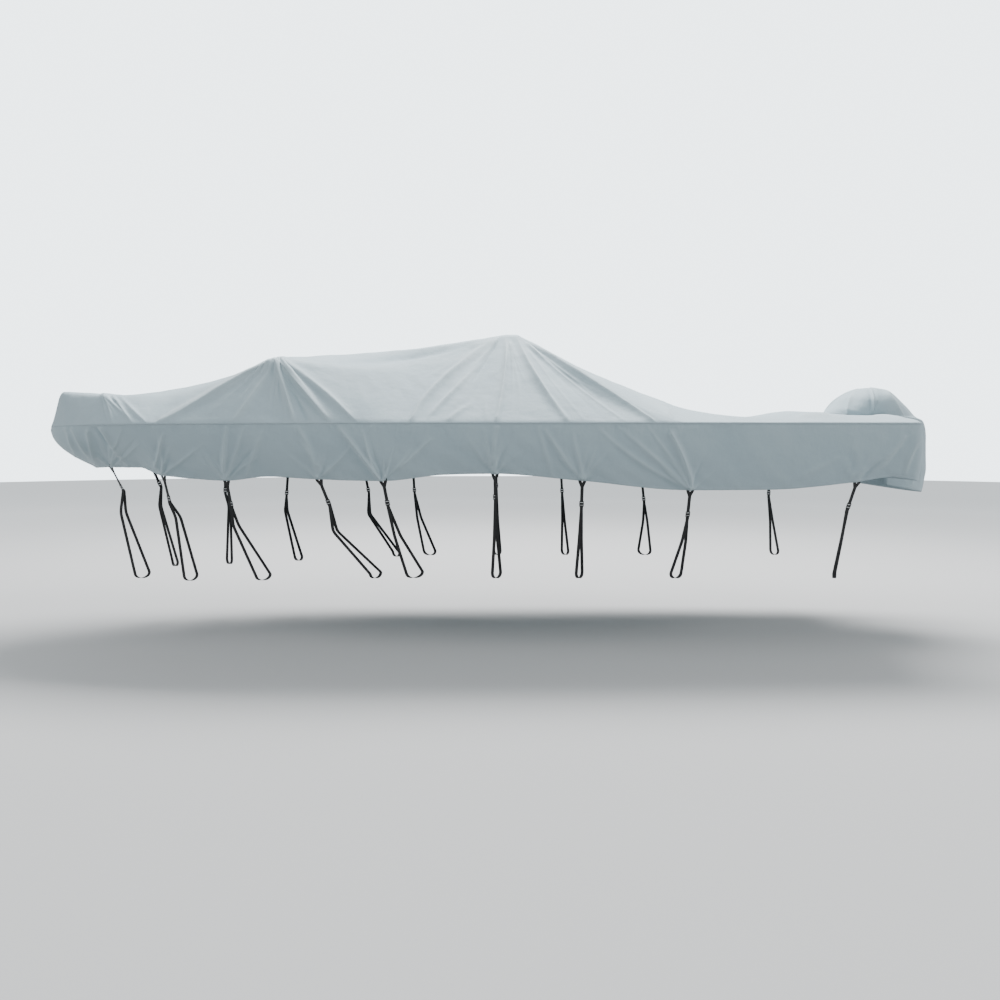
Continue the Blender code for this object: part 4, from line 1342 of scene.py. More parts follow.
    def drawn_columns(self, side: Side) -> tuple[Array, Array]:
        """The columns of one side as the ribs give them, and each column's x at the hem.

        Args:
            side: The side of the deck.

        Returns:
            The columns' points, mirrored to starboard, and the x of each column's hem.
        """
        edge = self.stern_edge()
        ribs = [self.rib_points(number, side) for number in range(len(RIBS))]
        lines = [self.bow_edge()] + ribs + [edge, edge]
        columns: list[Array] = []
        hem_x: list[float] = []
        for step in range(self.bow_columns):
            at = step / self.bow_columns
            columns.append(catmull_rom(lines[0], lines[0], lines[1], lines[2], at))
            hem_x.append((1.0 - at) * self.plan.hem_bow_x + at * RIBS[0].hem_x)
        for number, (rib, steps) in enumerate(zip(RIBS, self.column_counts())):
            last = number == len(RIBS) - 1
            before, start, end, after = lines[number : number + 4]
            next_crease = 0.0 if last else RIBS[number + 1].crease
            next_hem = self.plan.transom_x if last else RIBS[number + 1].hem_x
            for step in range(steps):
                at = step / steps
                crease = (1.0 - at) * rib.crease + at * next_crease
                straight = (1.0 - at) * start + at * end
                round_off = catmull_rom(before, start, end, after, at)
                points = crease * straight + (1.0 - crease) * round_off
                points[:, 2] -= rib.sag * 4.0 * at * (1.0 - at) * self.fold_spread()
                along = 1.0 - (1.0 - at) ** 2 if last else at
                if last:
                    points[-1, 0] = start[-1, 0] + (self.plan.transom_x - start[-1, 0]) * along
                columns.append(points)
                hem_x.append((1.0 - along) * rib.hem_x + along * next_hem)
        return np.array(columns + [edge]), np.array(hem_x + [self.plan.transom_x])

    def columns(self, side: Side) -> tuple[Array, Array]:
        """Every column of one side of the deck's inner face, and each column's x at the hem.

        Args:
            side: The side of the deck.

        Returns:
            The columns' points and the x of each column's hem.
        """
        grid, hem_x = self.drawn_columns(side)
        for _ in range(self.crease_rounding):
            grid[2:-2] = (grid[1:-3] + 2.0 * grid[2:-2] + grid[3:-1]) / 4.0
        grid[1:-1, -1, 1] = self.plan.seam_half(grid[1:-1, -1, 0])
        grid[1:, -1, 2] = 0.0
        grid[:, 0, 1] = 0.0
        grid[:, :, 1] *= side.value
        return grid, hem_x

    def build(self, skirts: dict[Side, "SideSkirt"]) -> Sheet:
        """The panel, with its edge turned down over the skirts as a felled seam.

        Args:
            skirts: The skirts that its edge laps.

        Returns:
            The panel.
        """
        port, starboard = (self.columns(side)[0] for side in Side)
        folds = FoldSet(deck_folds(self.fan_seed), self.ripple_seed, self.fold_strength)
        rises = []
        for side, half in zip(Side, (port, starboard)):
            down = run_lengths(half, 1)
            to_seam = down[:, -1:] - down
            rise = folds.rise(half, side) + folds.ripple(run_lengths(half, 0), side.value * down)
            rises.append(rise * smooth_step(to_seam / self.seam_fade))
        middle = (rises[0][:, :1] + rises[1][:, :1]) / 2.0
        rise = np.concatenate([rises[0][:, :0:-1], middle, rises[1][:, 1:]], axis=1)
        rise[-1] = 0.0
        inner = np.concatenate([port[:, ::-1], starboard[:, 1:]], axis=1)
        centre = inner.shape[1] // 2
        run = run_lengths(inner, 0)
        width = run_lengths(inner, 1)
        width -= width[:, centre][:, None]
        outer = inner + grid_normals(inner) * (CLOTH_SPACE + rise)[..., None]
        uv = np.stack([run, width], axis=-1)
        mesh = grid_mesh("deck_cloth", outer, uv, rise / FULL_FOLD_SHADE_RISE, merge=False)
        self.turn_down(mesh, outer, skirts)
        merge_doubles(mesh)
        item = piece("deck_cloth", mesh, self.cloth)
        thicken(item, CLOTH_THICKNESS)
        flat = (float(np.ptp(width, axis=1).max()), float(run[:, centre].max()))
        return Sheet(item, flat, sheet_area(outer))

    def turn_down(
        self, mesh: bpy.types.Mesh, outer: Array, skirts: dict[Side, "SideSkirt"]
    ) -> None:
        """Laps the panel's free edge down over each skirt.

        Args:
            mesh: The panel's mesh, which gets the lap.
            outer: The panel's points, in the order of the mesh.
            skirts: The skirts that the edge laps.
        """
        columns, rows = outer.shape[:2]
        index = np.arange(columns * rows).reshape(columns, rows)
        half = rows // 2
        aft = half + (self.notch_rows + 1) * self.rows_per_coarse
        shape = bmesh.new()
        shape.from_mesh(mesh)
        verts = list(shape.verts)
        layer = shape.loops.layers.uv["cloth"]
        for side, skirt in skirts.items():
            order = index if side is Side.STARBOARD else index[:, ::-1]
            transom = order[-1, aft + 1 : -1][::-1]
            edge = np.concatenate([order[0, half:-1], order[:, -1], transom])
            lap = skirt.lap_lines()
            run = np.linspace(0.0, path_length(lap[0]), len(edge))
            rings = [[verts[i] for i in edge]]
            rings += [[shape.verts.new(point) for point in line - ORIGIN] for line in lap]
            for depth, (one, two) in enumerate(zip(rings, rings[1:])):
                for i in range(len(edge) - 1):
                    j = i + 1
                    ring = [(one[i], i, 0), (one[j], j, 0), (two[j], j, 1), (two[i], i, 1)]
                    if side is Side.PORT:
                        ring.reverse()
                    face = shape.faces.new([corner for corner, _, _ in ring])
                    face.smooth = True
                    for loop, (_, place, low) in zip(face.loops, ring):
                        across = self.lap_uv + self.lap_uv_step * (depth + low)
                        loop[layer].uv = (run[place], across)
        write_shape(shape, mesh)


# ---- Side skirts ----
@dataclass
class SideSkirt:
    """A skirt from the stem round the transom corner to the motor hood, with its turned hem."""

    deck: DeckPanel
    side: Side
    cloth: bpy.types.Material
    rows: int = 46
    hem_width: float = 0.022
    hem_turn: float = 0.0008
    transom_lean: float = 0.012
    stem_bulge: float = 0.115
    stem_bulge_length: float = 0.5
    side_bulge: float = 0.018
    lap_depth: float = 0.013
    lap_rows: tuple[tuple[float, float], ...] = (
        (0.0012, 0.0),
        (0.0055, 0.0004),
        (lap_depth, 0.0002),
    )
    lap_clearance: float = 0.0015
    seam_fade: float = 0.03
    fold_strength: float = 1.8
    port_seed: int = 23
    starboard_seed: int = 29
    hem_marks: tuple[float, ...] = (0.94, 0.80, 0.30, 0.0)
    turned_share: float = 0.9
    pucker: float = 0.0009
    pucker_pitch: float = 0.061
    pucker_drift: float = 2.0
    pucker_drift_rate: float = 5.0
    pucker_reach: float = 1.3
    hem_stitch_row: int = -3
    hem_thread_lift: float = 0.0002
    seam_stitches: tuple[float, float] = (0.30, 0.78)
    seam_thread_lift: float = 0.0004

    def __post_init__(self) -> None:
        """Works out the skirt's inner and outer faces."""
        sign = self.side.value
        top, bottom, aft_count = self.edges()
        along = np.gradient(top[:, :2], axis=0)
        self.outward = unit(sign * np.stack([-along[:, 1], along[:, 0]], axis=1))
        from_stem = (bottom[:, 0] - self.deck.plan.hem_bow_x) / self.stem_bulge_length
        at_stem = 1.0 - smooth_step(from_stem)
        bulge = self.side_bulge + (self.stem_bulge - self.side_bulge) * at_stem
        bulge[-aft_count:] *= np.linspace(1.0, 0.0, aft_count)
        self.depth = np.linalg.norm(bottom - top, axis=1)
        hem_share = (self.hem_width / self.depth)[:, None]
        body = np.linspace(0.0, 1.0, self.rows)[None, :] * (1.0 - hem_share)
        hem = 1.0 - np.array(self.hem_marks)[None, :] * hem_share
        self.share = np.concatenate([body, hem], axis=1)
        self.inner = top[:, None] + (bottom - top)[:, None] * self.share[..., None]
        lift = (bulge[:, None] * 4.0 * self.share * (1.0 - self.share))[..., None]
        self.inner[..., :2] += self.outward[:, None] * lift
        self.inner[0, :, 1] = sign * SEAM_GAP / 2.0
        self.outer, self.rise = self.outer_face()

    def edges(self) -> tuple[Array, Array, int]:
        """The skirt's seam and hem, from the stem aft and round the transom.

        Returns:
            The seam's points, the hem's points and how many of each lie on the transom.
        """
        plan, sign = self.deck.plan, self.side.value
        columns, hem_x = self.deck.columns(self.side)
        notch = (self.deck.notch_rows + 1) * self.deck.rows_per_coarse
        bow = columns[0][:-1]
        bow_hem = np.linspace(plan.hem_bow_x, hem_x[1], len(bow) + 2)[:-1]
        hem_x = np.concatenate([bow_hem, hem_x[1:]])
        side_hem = np.stack([hem_x, sign * plan.hem_half(hem_x), -plan.hem_drop(hem_x)], axis=1)
        around = columns[-1][notch + 1 : -1][::-1].copy()
        around[-1, 1] = sign * (self.deck.notch_half_width + CLOTH_SPACE + 2.0 * SEAM_GAP)
        inner_y = abs(around[-1, 1])
        corner_y = plan.seam_half(plan.transom_x)
        narrowing = (plan.hem_half(plan.transom_x) - inner_y) / (corner_y - inner_y)
        around_hem = around.copy()
        around_hem[:, 0] -= self.transom_lean
        around_hem[:, 1] = sign * (inner_y + (np.abs(around[:, 1]) - inner_y) * narrowing)
        around_hem[:, 2] = -plan.hem_drop(plan.transom_x)
        top = np.concatenate([bow, columns[:, -1], around])
        top[:, 2] -= SEAM_GAP
        return top, np.concatenate([side_hem, around_hem]), len(around)

    def outer_face(self) -> tuple[Array, Array]:
        """The outer face with its folds, turned hem and puckers, and the height of its folds."""
        sign = self.side.value
        seed = self.port_seed if self.side is Side.PORT else self.starboard_seed
        folds = FoldSet(skirt_folds(self.deck.plan, seed), seed, self.fold_strength)
        run = run_lengths(self.inner, 0)
        down = self.share * self.depth[:, None]
        to_hem = self.depth[:, None] - down
        rise = folds.rise(self.inner, self.side) + folds.ripple(run, down)
        rise *= smooth_step((down - self.lap_depth) / self.seam_fade)
        drift = self.pucker_drift * np.sin(run * self.pucker_drift_rate)
        puckers = np.sin(2.0 * math.pi * run / self.pucker_pitch + drift)
        near_hem = np.exp(-((to_hem / (self.pucker_reach * self.hem_width)) ** 2))
        rise += self.pucker * puckers * near_hem
        turned = self.hem_turn * (to_hem < self.hem_width * self.turned_share)
        lift = CLOTH_SPACE - self.hem_turn + rise + turned
        outer = self.inner + grid_normals(self.inner) * sign * lift[..., None]
        outer[0, :, 1] = np.minimum(np.abs(outer[0, :, 1]), SEAM_GAP / 2.0) * sign
        return outer, rise

    def lap_lines(self) -> list[Array]:
        """Lines just outside the skirt, on which the deck's turned edge lies."""
        lines = []
        for down, out in self.lap_rows:
            share = np.minimum(down / self.depth, 0.5)
            column = [
                [np.interp(s, self.share[i], self.outer[i, :, axis]) for axis in range(3)]
                for i, s in enumerate(share)
            ]
            line = np.array(column)
            line[:, :2] += self.outward * (self.lap_clearance + out)
            line[0, 1] = 0.0
            lines.append(line)
        return lines

    def build(self) -> Sheet:
        """The skirt's cloth."""
        name = f"skirt_cloth_{self.side.label}"
        run = run_lengths(self.inner, 0)
        uv = np.stack([run, self.share * self.depth[:, None]], axis=-1)
        # tone is the folds' height, which the cloth's material paints as shade in troughs and light
        # on crests.
        outer, tone = self.outer, self.rise / FULL_FOLD_SHADE_RISE
        if self.side is Side.PORT:
            outer, uv, tone = outer[:, ::-1], uv[:, ::-1], tone[:, ::-1]
        item = piece(name, grid_mesh(name, outer, uv, tone), self.cloth)
        thicken(item, CLOTH_THICKNESS - self.hem_turn / 2.0)
        return Sheet(item, (float(self.depth.max()), float(run.max())), sheet_area(self.outer))

    def hem_line(self) -> Array:
        """The line of the hem's stitches."""
        row = self.hem_stitch_row
        normals = grid_normals(self.inner)[:, row] * self.side.value
        return (self.outer[:, row] + normals * self.hem_thread_lift)[2:-2]

    def seam_lines(self) -> list[Array]:
        """The two lines of stitches on the felled seam."""
        first, _, last = self.lap_lines()
        outward = np.concatenate([self.outward, np.zeros((len(self.outward), 1))], axis=1)
        lift = outward * self.seam_thread_lift
        return [(first + (last - first) * share + lift)[2:-2] for share in self.seam_stitches]


# ---- Motor hood ----
@dataclass
class MotorHood:
    """The two-piece hood at the stern, sewn along a seam over its crown."""

    deck: DeckPanel
    cloth: bpy.types.Material
    boxiness: float = 0.80
    hem_arch: float = 2.0
    lift: float = CLOTH_SPACE + 2.0 * SEAM_GAP
    columns: int = 96
    front_steps: int = 16
    rear_steps: int = 14
    front_seed: int = 31
    rear_seed: int = 37
    longest_wave: float = 0.4
    side_fade: float = 0.05
    tiny: float = 1e-9

    def hoops(self) -> tuple[tuple[Hoop, ...], tuple[Hoop, ...]]:
        """The hoops of the front and the rear half. They share the crown seam."""
        side_x = self.deck.notch_side_x
        side_z = self.deck.notch_side_z + self.lift
        seam = Hoop("crown_seam", side_x, side_z, 3.400, 0.364)
        front = (
            seam,
            Hoop("front_top", side_x, side_z, 3.287, 0.354),
            Hoop("front_brow", side_x, side_z, 3.136, 0.278),
            Hoop("front_fall", side_x, side_z, 3.020, 0.178),
            Hoop("front_foot", side_x, side_z, 2.955, self.deck.notch_front_z + self.lift),
        )
        rear = (
            seam,
            Hoop("rear_top", 3.275, side_z, 3.505, 0.344),
            Hoop("rear_brow", 3.315, side_z, 3.635, 0.240),
            Hoop("rear_fall", 3.360, side_z, 3.770, 0.088),
            Hoop("rear_corner", 3.3945, side_z, 3.850, 0.036),
            Hoop("rear_cowl", 3.3800, -0.080, 3.880, -0.130),
            Hoop("rear_back", 3.3740, -0.300, 3.880, -0.380),
            Hoop("rear_hem", 3.3680, -0.540, 3.835, -0.617),
        )
        return front, rear

    def face(self, hoops: tuple[Hoop, ...], steps: int) -> Array:
        """One half's inner face. The front one's hem follows the edge of the deck's notch.

        Args:
            hoops: The half's hoops, from the crown seam to its free edge.
            steps: The mesh rows between two hoops.

        Returns:
            The face's points, as rows from fore to aft of places from port to starboard.
        """
        turn = np.linspace(-math.pi / 2, math.pi / 2, self.columns + 1)
        rows = np.linspace(0, len(hoops) - 1, (len(hoops) - 1) * steps + 1)
        stops = np.arange(len(hoops))
        side_x, side_z, crown_x, crown_z = (
            smooth_between(rows, stops, [hoop[i] for hoop in hoops])[:, None] for i in range(1, 5)
        )
        in_front = hoops[1].crown_x < hoops[0].crown_x
        at_foot = smooth_step(rows - stops[-2])[:, None] * in_front
        arch = np.abs(np.cos(turn))[None, :]
        forward = arch ** (self.boxiness + (1.0 - self.boxiness) * at_foot)
        upward = arch ** (self.boxiness + (self.hem_arch - self.boxiness) * at_foot)
        x = side_x + (crown_x - side_x) * forward
        y = np.broadcast_to(self.deck.notch_half_width * np.sin(turn), x.shape)
        z = side_z + (crown_z - side_z) * upward
        grid = np.stack([x, y, z], axis=-1)
        return grid[::-1] if in_front else grid

    def half(self, name: str, hoops: tuple[Hoop, ...], steps: int, seed: int) -> Sheet:
        """One half of the hood, with its folds and a seeded slight unevenness.

        Args:
            name: The piece's name.
            hoops: The half's hoops, from the crown seam to its free edge.
            steps: The mesh rows between two hoops.
            seed: The seed of its unevenness.

        Returns:
            The half.
        """
        grid = self.face(hoops, steps)
        along, across = run_lengths(grid, 0), run_lengths(grid, 1)
        folds = FoldSet(HOOD_FOLDS, seed, longest_wave=self.longest_wave)
        halfway = grid.shape[1] // 2
        lift = folds.ripple(along, across)
        lift[:, :halfway] += folds.rise(grid[:, :halfway], Side.PORT)
        lift[:, halfway:] += folds.rise(grid[:, halfway:], Side.STARBOARD)
        normals = np.cross(np.gradient(grid, axis=0), np.gradient(grid, axis=1))
        size = np.linalg.norm(normals, axis=-1, keepdims=True)
        normals = np.where(size > self.tiny, normals / np.maximum(size, self.tiny), 0.0)
        fade = smooth_step(np.minimum(across, across[:, -1:] - across) / self.side_fade)
        outer = grid + normals * (CLOTH_SPACE + lift * fade)[..., None]
        uv = np.stack([along, across], axis=-1)
        item = piece(name, grid_mesh(name, outer, uv, lift / FULL_FOLD_SHADE_RISE), self.cloth)
        thicken(item, CLOTH_THICKNESS)
        flat = (float(np.ptp(across, axis=1).max()), float(np.ptp(along, axis=0).max()))
        return Sheet(item, flat, sheet_area(outer))

    def build(self) -> tuple[Sheet, Sheet]:
        """Both halves, front first."""
        front, rear = self.hoops()
        return (
            self.half("hood_cloth_front", front, self.front_steps, self.front_seed),
            self.half("hood_cloth_rear", rear, self.rear_steps, self.rear_seed),
        )


# ---- Ties ----
@dataclass
class WebbingTie:
    """One tie: a webbing tab folded to a V and sewn inside the hem, a buckle and a looped strap."""

    row: Tie
    side: Side
    skirt: SideSkirt
    webbing: bpy.types.Material
    plastic: bpy.types.Material
    width: float = 0.027
    thickness: float = 0.0022
    cad_thickness: float = 0.0025
    tab_top_width: float = 0.075
    sewn_length: float = 0.030
    taper_length: float = 0.055
    leg_offset: float = 0.019
    leg_gap: float = 0.0001
    clearance: float = 0.0012
    below_hem: float = 0.003
    higher_row: int = -8
    edge_bevel: float = 0.0007
    face_crown: float = 1.02
    buckle_length: float = 0.050
    buckle_width: float = 0.038
    frame_thickness: float = 0.0050
    rail: float = 0.005
    bar: float = 0.008
    slot: float = 0.006
    bar_clearance: float = 0.0004
    above_bar: float = 0.012
    tab_overlap: float = 0.8
    strap_overlap: float = 0.9
    tail_offset: float = 0.7
    leg_squeeze: float = 0.9
    edge_radius: float = 0.0016
    edge_segments: int = 3
    leg_spacing: float = 0.010
    leg_start: float = 0.015
    foot_radius: float = 0.045
    knee_spread: float = 0.35
    corner_rounding: float = 0.035
    turn_share: float = 0.12
    foot_points: int = 7
    pitch: float = 0.020
    tab_pitch: float = 0.006
    box_inset: float = 0.004
    box_start: float = 1.12
    box_length: float = 0.022
    box_lift: float = 0.0005

    def __post_init__(self) -> None:
        """Works out the tie's own directions at the hem and at the buckle."""
        row, sign = self.row, self.side.value
        side_part = self.skirt.inner[: np.argmax(self.skirt.inner[:, -1, 0]) + 1]
        self.sewn, _ = self.across_skirt(side_part, self.sewn_length)
        self.hem, hem_across = self.across_skirt(side_part, -self.below_hem)
        inward = -sign * unit(np.cross(hem_across, self.hem - self.sewn))
        inward *= math.copysign(1.0, -sign * inward[1])
        inset = inward * (self.clearance + self.cad_thickness / 2.0)
        self.sewn, self.hem = self.sewn + inset, self.hem + inset
        self.centre = self.at_height(row.buckle_x, self.hem[2] - row.buckle_drop)
        self.down = unit(self.centre - self.hem)
        self.sideways = unit(hem_across - self.down * np.dot(hem_across, self.down))
        outward = sign * unit(np.cross(self.down, self.sideways))
        self.outward = outward * math.copysign(1.0, sign * outward[1])

    @property
    def place(self) -> str:
        """The tie's place in a piece's name."""
        return f"{self.side.label}_{self.row.name}"

    @property
    def wrap(self) -> float:
        """How far the webbing's middle stands off the middle of a buckle's bar."""
        return self.frame_thickness / 2 + self.thickness / 2 + self.bar_clearance

    def across_skirt(self, skirt: Array, above: float) -> tuple[Array, Array]:
        """The chord of the skirt's inner face at the tie: its middle and its direction.

        Args:
            skirt: The skirt's inner face.
            above: How far above the hem the chord is.

        Returns:
            The chord's middle and its direction.
        """
        ends = []
        for half in (-self.tab_top_width / 2, self.tab_top_width / 2):
            x = self.row.hem_x + half
            hem, higher = (at_x(skirt[:, row], x) for row in (-1, self.higher_row))
            ends.append(hem + unit(higher - hem) * above)
        return (ends[0] + ends[1]) / 2, unit(ends[1] - ends[0])

    def at_height(self, x: float, z: float) -> Array:
        """A point on the strap's slope from the hem to its foot."""
        row = self.row
        share = (self.hem[2] - z) / (self.hem[2] - row.foot_z)
        y = self.hem[1] + (self.side.value * row.foot_y - self.hem[1]) * share
        return np.array([x, y, z])

    def band(self, name: str, path: Array, across: Array) -> bpy.types.Object:
        """A webbing band swept along a path.

        Args:
            name: The piece's name.
            path: The band's centreline.
            across: The direction of its width at each point.

        Returns:
            The band, closed at its ends, with its lengths in its UV map.
        """
        tangent = unit(np.gradient(path, axis=0))
        across = unit(across - tangent * np.sum(across * tangent, axis=1)[:, None])
        face = np.cross(tangent, across)
        half, flat = self.width / 2, self.width / 2 - self.edge_bevel
        thin, crown = self.thickness / 2, self.thickness / 2 * self.face_crown
        profile = ((-half, 0.0), (-flat, thin), (0.0, crown), (flat, thin))
        profile += ((half, 0.0), (flat, -thin), (0.0, -crown), (-flat, -thin))
        run = run_lengths(path, 0)
        shape = bmesh.new()
        layer = shape.loops.layers.uv.new("cloth")
        rings = []
        for middle, sideways, out in zip(path - ORIGIN, across, face):
            rings.append([shape.verts.new(middle + sideways * a + out * b) for a, b in profile])
        for step, (one, two) in enumerate(zip(rings, rings[1:])):
            for i in range(len(profile)):
                strip = shape.faces.new((one[i], one[i - 1], two[i - 1], two[i]))
                strip.smooth = True
                for loop, (a, r) in zip(strip.loops, ((i, 0), (i - 1, 0), (i - 1, 1), (i, 1))):
                    loop[layer].uv = (run[step + r], profile[a][0])
        shape.faces.new(rings[0])
        shape.faces.new(rings[-1][::-1])
        bmesh.ops.recalc_face_normals(shape, faces=shape.faces)
        mesh = write_shape(shape, bpy.data.meshes.new(name))
        mesh.set_sharp_from_angle(angle=SHARP_ANGLE)
        return piece(name, mesh, self.webbing)

    def local(self, origin: Array, along: float, down: float, out: float) -> Array:
        """A point from an origin, in the tie's own directions."""
        return origin + self.sideways * along + self.down * down + self.outward * out

    def tab_leg(self, hand: float, bar_top: float) -> list[Array]:
        """One of the tab's two legs, from inside the hem to the buckle's bar.

        Args:
            hand: -1 or 1, the side on which the leg leaves the hem.
            bar_top: How far below the hem the bar's upper edge is.

        Returns:
            The places that the leg passes.
        """
        spread, taper = hand * self.leg_offset, self.taper_length
        stack = -hand * (self.thickness / 2 + self.leg_gap)
        # How far apart the legs are, how far below the hem, and how far out in stacks.
        below_hem = (
            (0.55, taper * 0.45, 0.4),
            (0.10, taper * 0.88, 1.0),
            (0.0, taper * 1.15, 1.0),
            (0.0, (taper + bar_top) / 2, 1.0),
            (0.0, bar_top - self.above_bar, 1.4),
        )
        points = [self.sewn + self.sideways * spread, self.hem + self.sideways * spread]
        for apart, down, out in below_hem:
            points.append(self.local(self.hem, spread * apart, down, stack * out))
        return points + [self.local(self.hem, 0.0, bar_top + self.bar / 2, -hand * self.wrap)]

    def tab(self) -> bpy.types.Object:
        """The tab: its two legs leave the hem apart, meet in a V and loop over the buckle's bar."""
        bar_top = float(np.dot(self.centre - self.hem, self.down)) - self.buckle_length / 2
        under_bar = bar_top + self.bar + self.thickness * self.tab_overlap
        turn = self.local(self.hem, 0.0, under_bar, 0.0)
        back = self.tab_leg(1.0, bar_top)[::-1]
        path = smooth_path(self.tab_leg(-1.0, bar_top) + [turn] + back, self.tab_pitch)
        return self.band(f"webbing_tab_{self.place}", path, np.tile(self.sideways, (len(path), 1)))

    def strap(self) -> tuple[bpy.types.Object, Array]:
        """The strap's loop, from the buckle down to its foot and back.

        Returns:
            The strap and its centreline.
        """
        row = self.row
        bar = self.centre + self.down * (self.buckle_length / 2 + SEAM_GAP)
        knee = self.at_height(row.knee_x, row.knee_z)
        foot = self.at_height(row.foot_x, row.foot_z)
        spread = ALONG_BOAT * row.splay / 2
        depth = np.array([0.0, self.side.value, 0.0])
        near = self.outward * self.leg_spacing / 2
        start = self.down * self.leg_start
        parting = depth * self.foot_radius * self.knee_spread - spread * self.knee_spread
        wrap = self.outward * self.wrap
        in_slot = bar - self.down * (self.bar + self.thickness * self.strap_overlap)
        on_bar = bar - self.down * self.bar / 2
        tail = self.outward * self.thickness * self.tail_offset
        close = near * self.leg_squeeze
        path = [in_slot + tail, on_bar + wrap, bar + close, bar + near + start, knee + parting]
        for turn in np.linspace(0.0, math.pi, self.foot_points):
            round_foot = depth * math.cos(turn) - UPWARD * math.sin(turn)
            path.append(foot + round_foot * self.foot_radius - spread * math.cos(turn))
        path += [knee - parting, bar - near + start, bar - close, on_bar - wrap, in_slot - tail]
        line = taut_path(path, self.corner_rounding, self.pitch)
        share = np.linspace(0.0, 1.0, len(line))
        blend = smooth_step(np.minimum(share, 1.0 - share) / self.turn_share)[:, None]
        across = self.sideways * (1.0 - blend) + ALONG_BOAT * blend
        return self.band(f"strap_{self.place}", line, across), line

    def buckle(self) -> bpy.types.Object:
        """A two-slot adjuster: a moulded frame with a bar at each end and across its middle."""
        half_width, half_length = self.buckle_width / 2, self.buckle_length / 2
        bar_edge = half_length - self.bar
        slot_edge = bar_edge - self.slot
        x_stops = (-half_width, self.rail - half_width, half_width - self.rail, half_width)
        y_stops = (-half_length, -bar_edge, -slot_edge, slot_edge, bar_edge, half_length)
        slots = ((1, 1), (1, 3))
        origin = self.centre - ORIGIN
        shape = bmesh.new()
        corner = [
            [shape.verts.new(origin + self.sideways * x + self.down * y) for y in y_stops]
            for x in x_stops
        ]
        for i in range(len(x_stops) - 1):
            for j in range(len(y_stops) - 1):
                if (i, j) not in slots:
                    ring = (corner[i][j], corner[i + 1][j], corner[i + 1][j + 1], corner[i][j + 1])
                    shape.faces.new(ring if self.side is Side.STARBOARD else ring[::-1])
        name = f"buckle_{self.place}"
        mesh = write_shape(shape, bpy.data.meshes.new(name))
        item = piece(name, mesh, self.plastic)
        wall = item.modifiers.new("Frame thickness", "SOLIDIFY")
        wall.thickness = self.frame_thickness
        wall.offset = 0.0
        edge = item.modifiers.new("Moulded edges", "BEVEL")
        edge.width = self.edge_radius
        edge.segments = self.edge_segments
        edge.limit_method = "ANGLE"
        mesh.shade_smooth()
        return item

    def stitch_lines(self) -> list[Array]:
        """The sewn box and cross where the tab's two legs meet."""
        half = self.width / 2 - self.box_inset
        top = self.taper_length * self.box_start
        low = top + self.box_length
        out = self.thickness + self.box_lift
        corners = [(-half, top), (half, top), (half, low), (-half, low), (-half, top), (half, low)]
        box = [self.local(self.hem, a, d, out) for a, d in corners]
        cross = [self.local(self.hem, a, d, out) for a, d in ((half, top), (-half, low))]
        return [np.array(box), np.array(cross)]


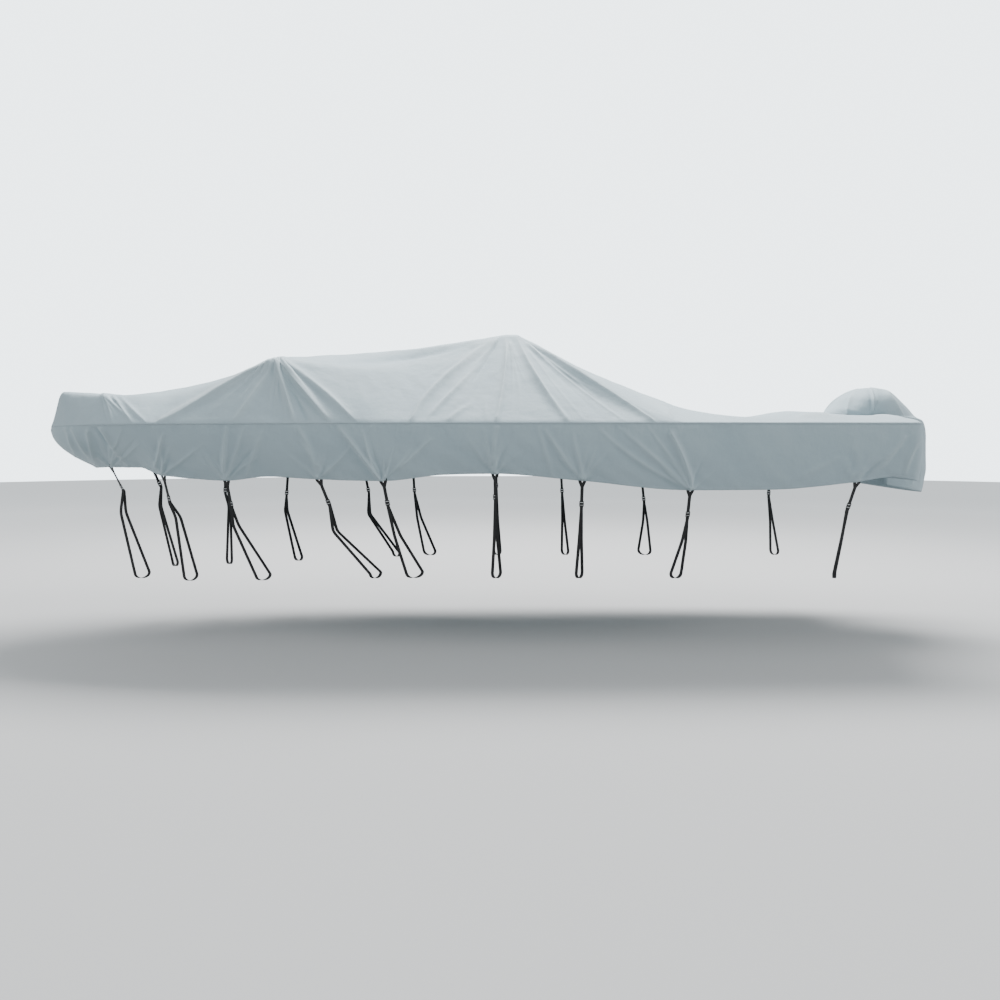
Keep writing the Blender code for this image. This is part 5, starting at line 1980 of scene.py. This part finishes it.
# ---- Studio ----
@dataclass(frozen=True)
class Studio:
    """A pale floor, soft overhead light and the camera abeam of the cover."""

    eye: tuple[float, float, float] = (EYE_X, EYE_Y, EYE_Z - PEAK_HEIGHT)
    focal_share: float = 0.793
    sensor: float = 36.0
    shift_y: float = -0.052
    floor_radius: float = 40.0
    floor_sides: int = 120
    sky: tuple[float, float, float] = (0.88, 0.97, 1.02)
    sky_low: float = 0.385
    sky_high: float = 0.95
    backdrop: float = 4.0
    key_place: tuple[float, float, float] = (0.8, 4.0, 7.0)
    key_size: tuple[float, float] = (11.0, 3.2)
    key_power: float = 3550.0
    fill_from: tuple[float, float, float] = (0.84, -0.31, 0.50)
    fill_strength: float = 1.45
    bow_fill_from: tuple[float, float, float] = (-0.80, -0.20, 0.58)
    bow_fill_strength: float = 1.15
    fill_softness: float = 0.5

    def camera(self) -> None:
        """The camera, level and square to the cover's side."""
        data = bpy.data.cameras.new("camera")
        data.sensor_width = self.sensor
        data.lens = self.focal_share * self.sensor
        data.shift_y = self.shift_y
        item = add_object("camera", data)
        item.location = self.eye
        item.rotation_euler = (math.pi / 2, 0.0, 0.0)
        bpy.context.scene.camera = item

    def floor(self) -> None:
        """The floor under the cover, which isn't part of it."""
        z = -PEAK_HEIGHT - FLOOR_BELOW_SEAM
        radius = self.floor_radius
        turns = np.linspace(0.0, 2.0 * math.pi, self.floor_sides, endpoint=False)
        rim = [(radius * math.cos(turn), radius * math.sin(turn), z) for turn in turns]
        mesh = bpy.data.meshes.new("floor")
        mesh.from_pydata(rim, [], [tuple(range(self.floor_sides))])
        piece("floor", mesh, FloorWithPaintedLight().material("floor"))

    def light(self, name: str, kind: str, place: tuple[float, float, float]) -> bpy.types.Light:
        """A light that faces the cover from a place.

        Args:
            name: Its name.
            kind: Blender's kind of light.
            place: Where it is.

        Returns:
            The light's data.
        """
        data = bpy.data.lights.new(name, kind)
        item = add_object(name, data)
        item.location = place
        item.rotation_euler = Vector(place).to_track_quat("Z", "Y").to_euler()
        return data

    def lights(self) -> None:
        """A softbox beyond the cover, two soft fills abeam of it, and the sky."""
        key = self.light("key", "AREA", self.key_place)
        key.shape = "RECTANGLE"
        key.size, key.size_y = self.key_size
        key.energy = self.key_power
        fills = (
            ("fill", self.fill_from, self.fill_strength),
            ("bow_fill", self.bow_fill_from, self.bow_fill_strength),
        )
        for name, place, strength in fills:
            fill = self.light(name, "SUN", place)
            fill.energy = strength
            fill.angle = self.fill_softness
        self.paint_sky()

    def paint_sky(self) -> None:
        """A sky that lights the cover more from overhead, and that the camera sees as white."""
        world = bpy.data.worlds.new("sky")
        world.use_nodes = True
        tree = NodeTree(world.node_tree)
        background = world.node_tree.nodes["Background"]
        background.inputs["Color"].default_value = (*self.sky, 1.0)
        seen = tree.value("ShaderNodeLightPath", "Is Camera Ray")
        way = tree.node("ShaderNodeTexCoord").outputs["Generated"]
        upward = tree.value("ShaderNodeSeparateXYZ", "Z", None, {0: way}).clamped()
        light = upward * (self.sky_high - self.sky_low) + self.sky_low
        strength = seen * self.backdrop + (1.0 - seen) * light
        world.node_tree.links.new(strength.socket, background.inputs["Strength"])
        bpy.context.scene.world = world


def add_tie(tie: WebbingTie) -> bpy.types.Object:
    """Builds a tie: its strap, its buckle and its tab.

    Args:
        tie: The tie.

    Returns:
        Its tab, which moves with the hem.
    """
    strap, line = tie.strap()
    buckle, tab = tie.buckle(), tie.tab()
    declare(strap, Slot.WEBBING, f"tie_strap_{tie.place}")
    declare(buckle, Slot.BUCKLE, f"tie_buckle_{tie.place}")
    declare(tab, Slot.WEBBING, f"tie_tab_{tie.place}")
    return tab


def add_skirt(
    skirt: SideSkirt,
    ties: list[WebbingTie],
    threads: dict[Slot, bpy.types.Material],
) -> None:
    """Builds a skirt and its stitches.

    Args:
        skirt: The skirt.
        ties: The ties on its side.
        threads: The thread that sews each kind of cloth.
    """
    side, stitches = skirt.side.label, StitchRow()
    sheet = skirt.build()
    declare(sheet.item, Slot.CLOTH, f"skirt_{side}")
    hem = stitches.sew(f"hem_stitches_{side}", [skirt.hem_line()], threads[Slot.CLOTH])
    boxes = [line for tie in ties for line in tie.stitch_lines()]
    box = stitches.sew(f"tab_stitches_{side}", boxes, threads[Slot.WEBBING])
    seam = stitches.sew(f"seam_stitches_{side}", skirt.seam_lines(), threads[Slot.CLOTH])
    declare(hem, Slot.CLOTH)
    declare(box, Slot.WEBBING)
    declare(seam, Slot.CLOTH)
    sheet.report()


def main() -> None:
    """Builds the cover's classes in order and reports each piece."""
    logging.basicConfig(level=logging.INFO, format="%(name)s: %(message)s")
    studio = Studio()
    studio.camera()
    cloth = WovenCloth().material("woven_cloth")
    webbing = BlackWebbing().material("black_webbing")
    plastic = MouldedPlastic().material("moulded_plastic")
    black = SewingThread(colour=(0.05, 0.05, 0.05), shade=(0.02, 0.02, 0.02))
    threads = {
        Slot.CLOTH: SewingThread().material("grey_thread"),
        Slot.WEBBING: black.material("black_thread"),
    }
    deck = DeckPanel(CoverPlan(), cloth)
    skirts = {side: SideSkirt(deck, side, cloth) for side in Side}
    ties = {
        side: [WebbingTie(row, side, skirts[side], webbing, plastic) for row in TIES]
        for side in Side
    }
    tabs = {side: [add_tie(tie) for tie in ties[side]] for side in Side}
    studio.floor()
    studio.lights()

    top = deck.build(skirts)
    declare(top.item, Slot.CLOTH, "deck_panel")
    for side, skirt in skirts.items():
        add_skirt(skirt, ties[side], threads)
    top.report()
    for half, node in zip(MotorHood(deck, cloth).build(), ("hood_front", "hood_rear")):
        declare(half.item, Slot.CLOTH, node)
        half.report()


if __name__ == "__main__":
    main()
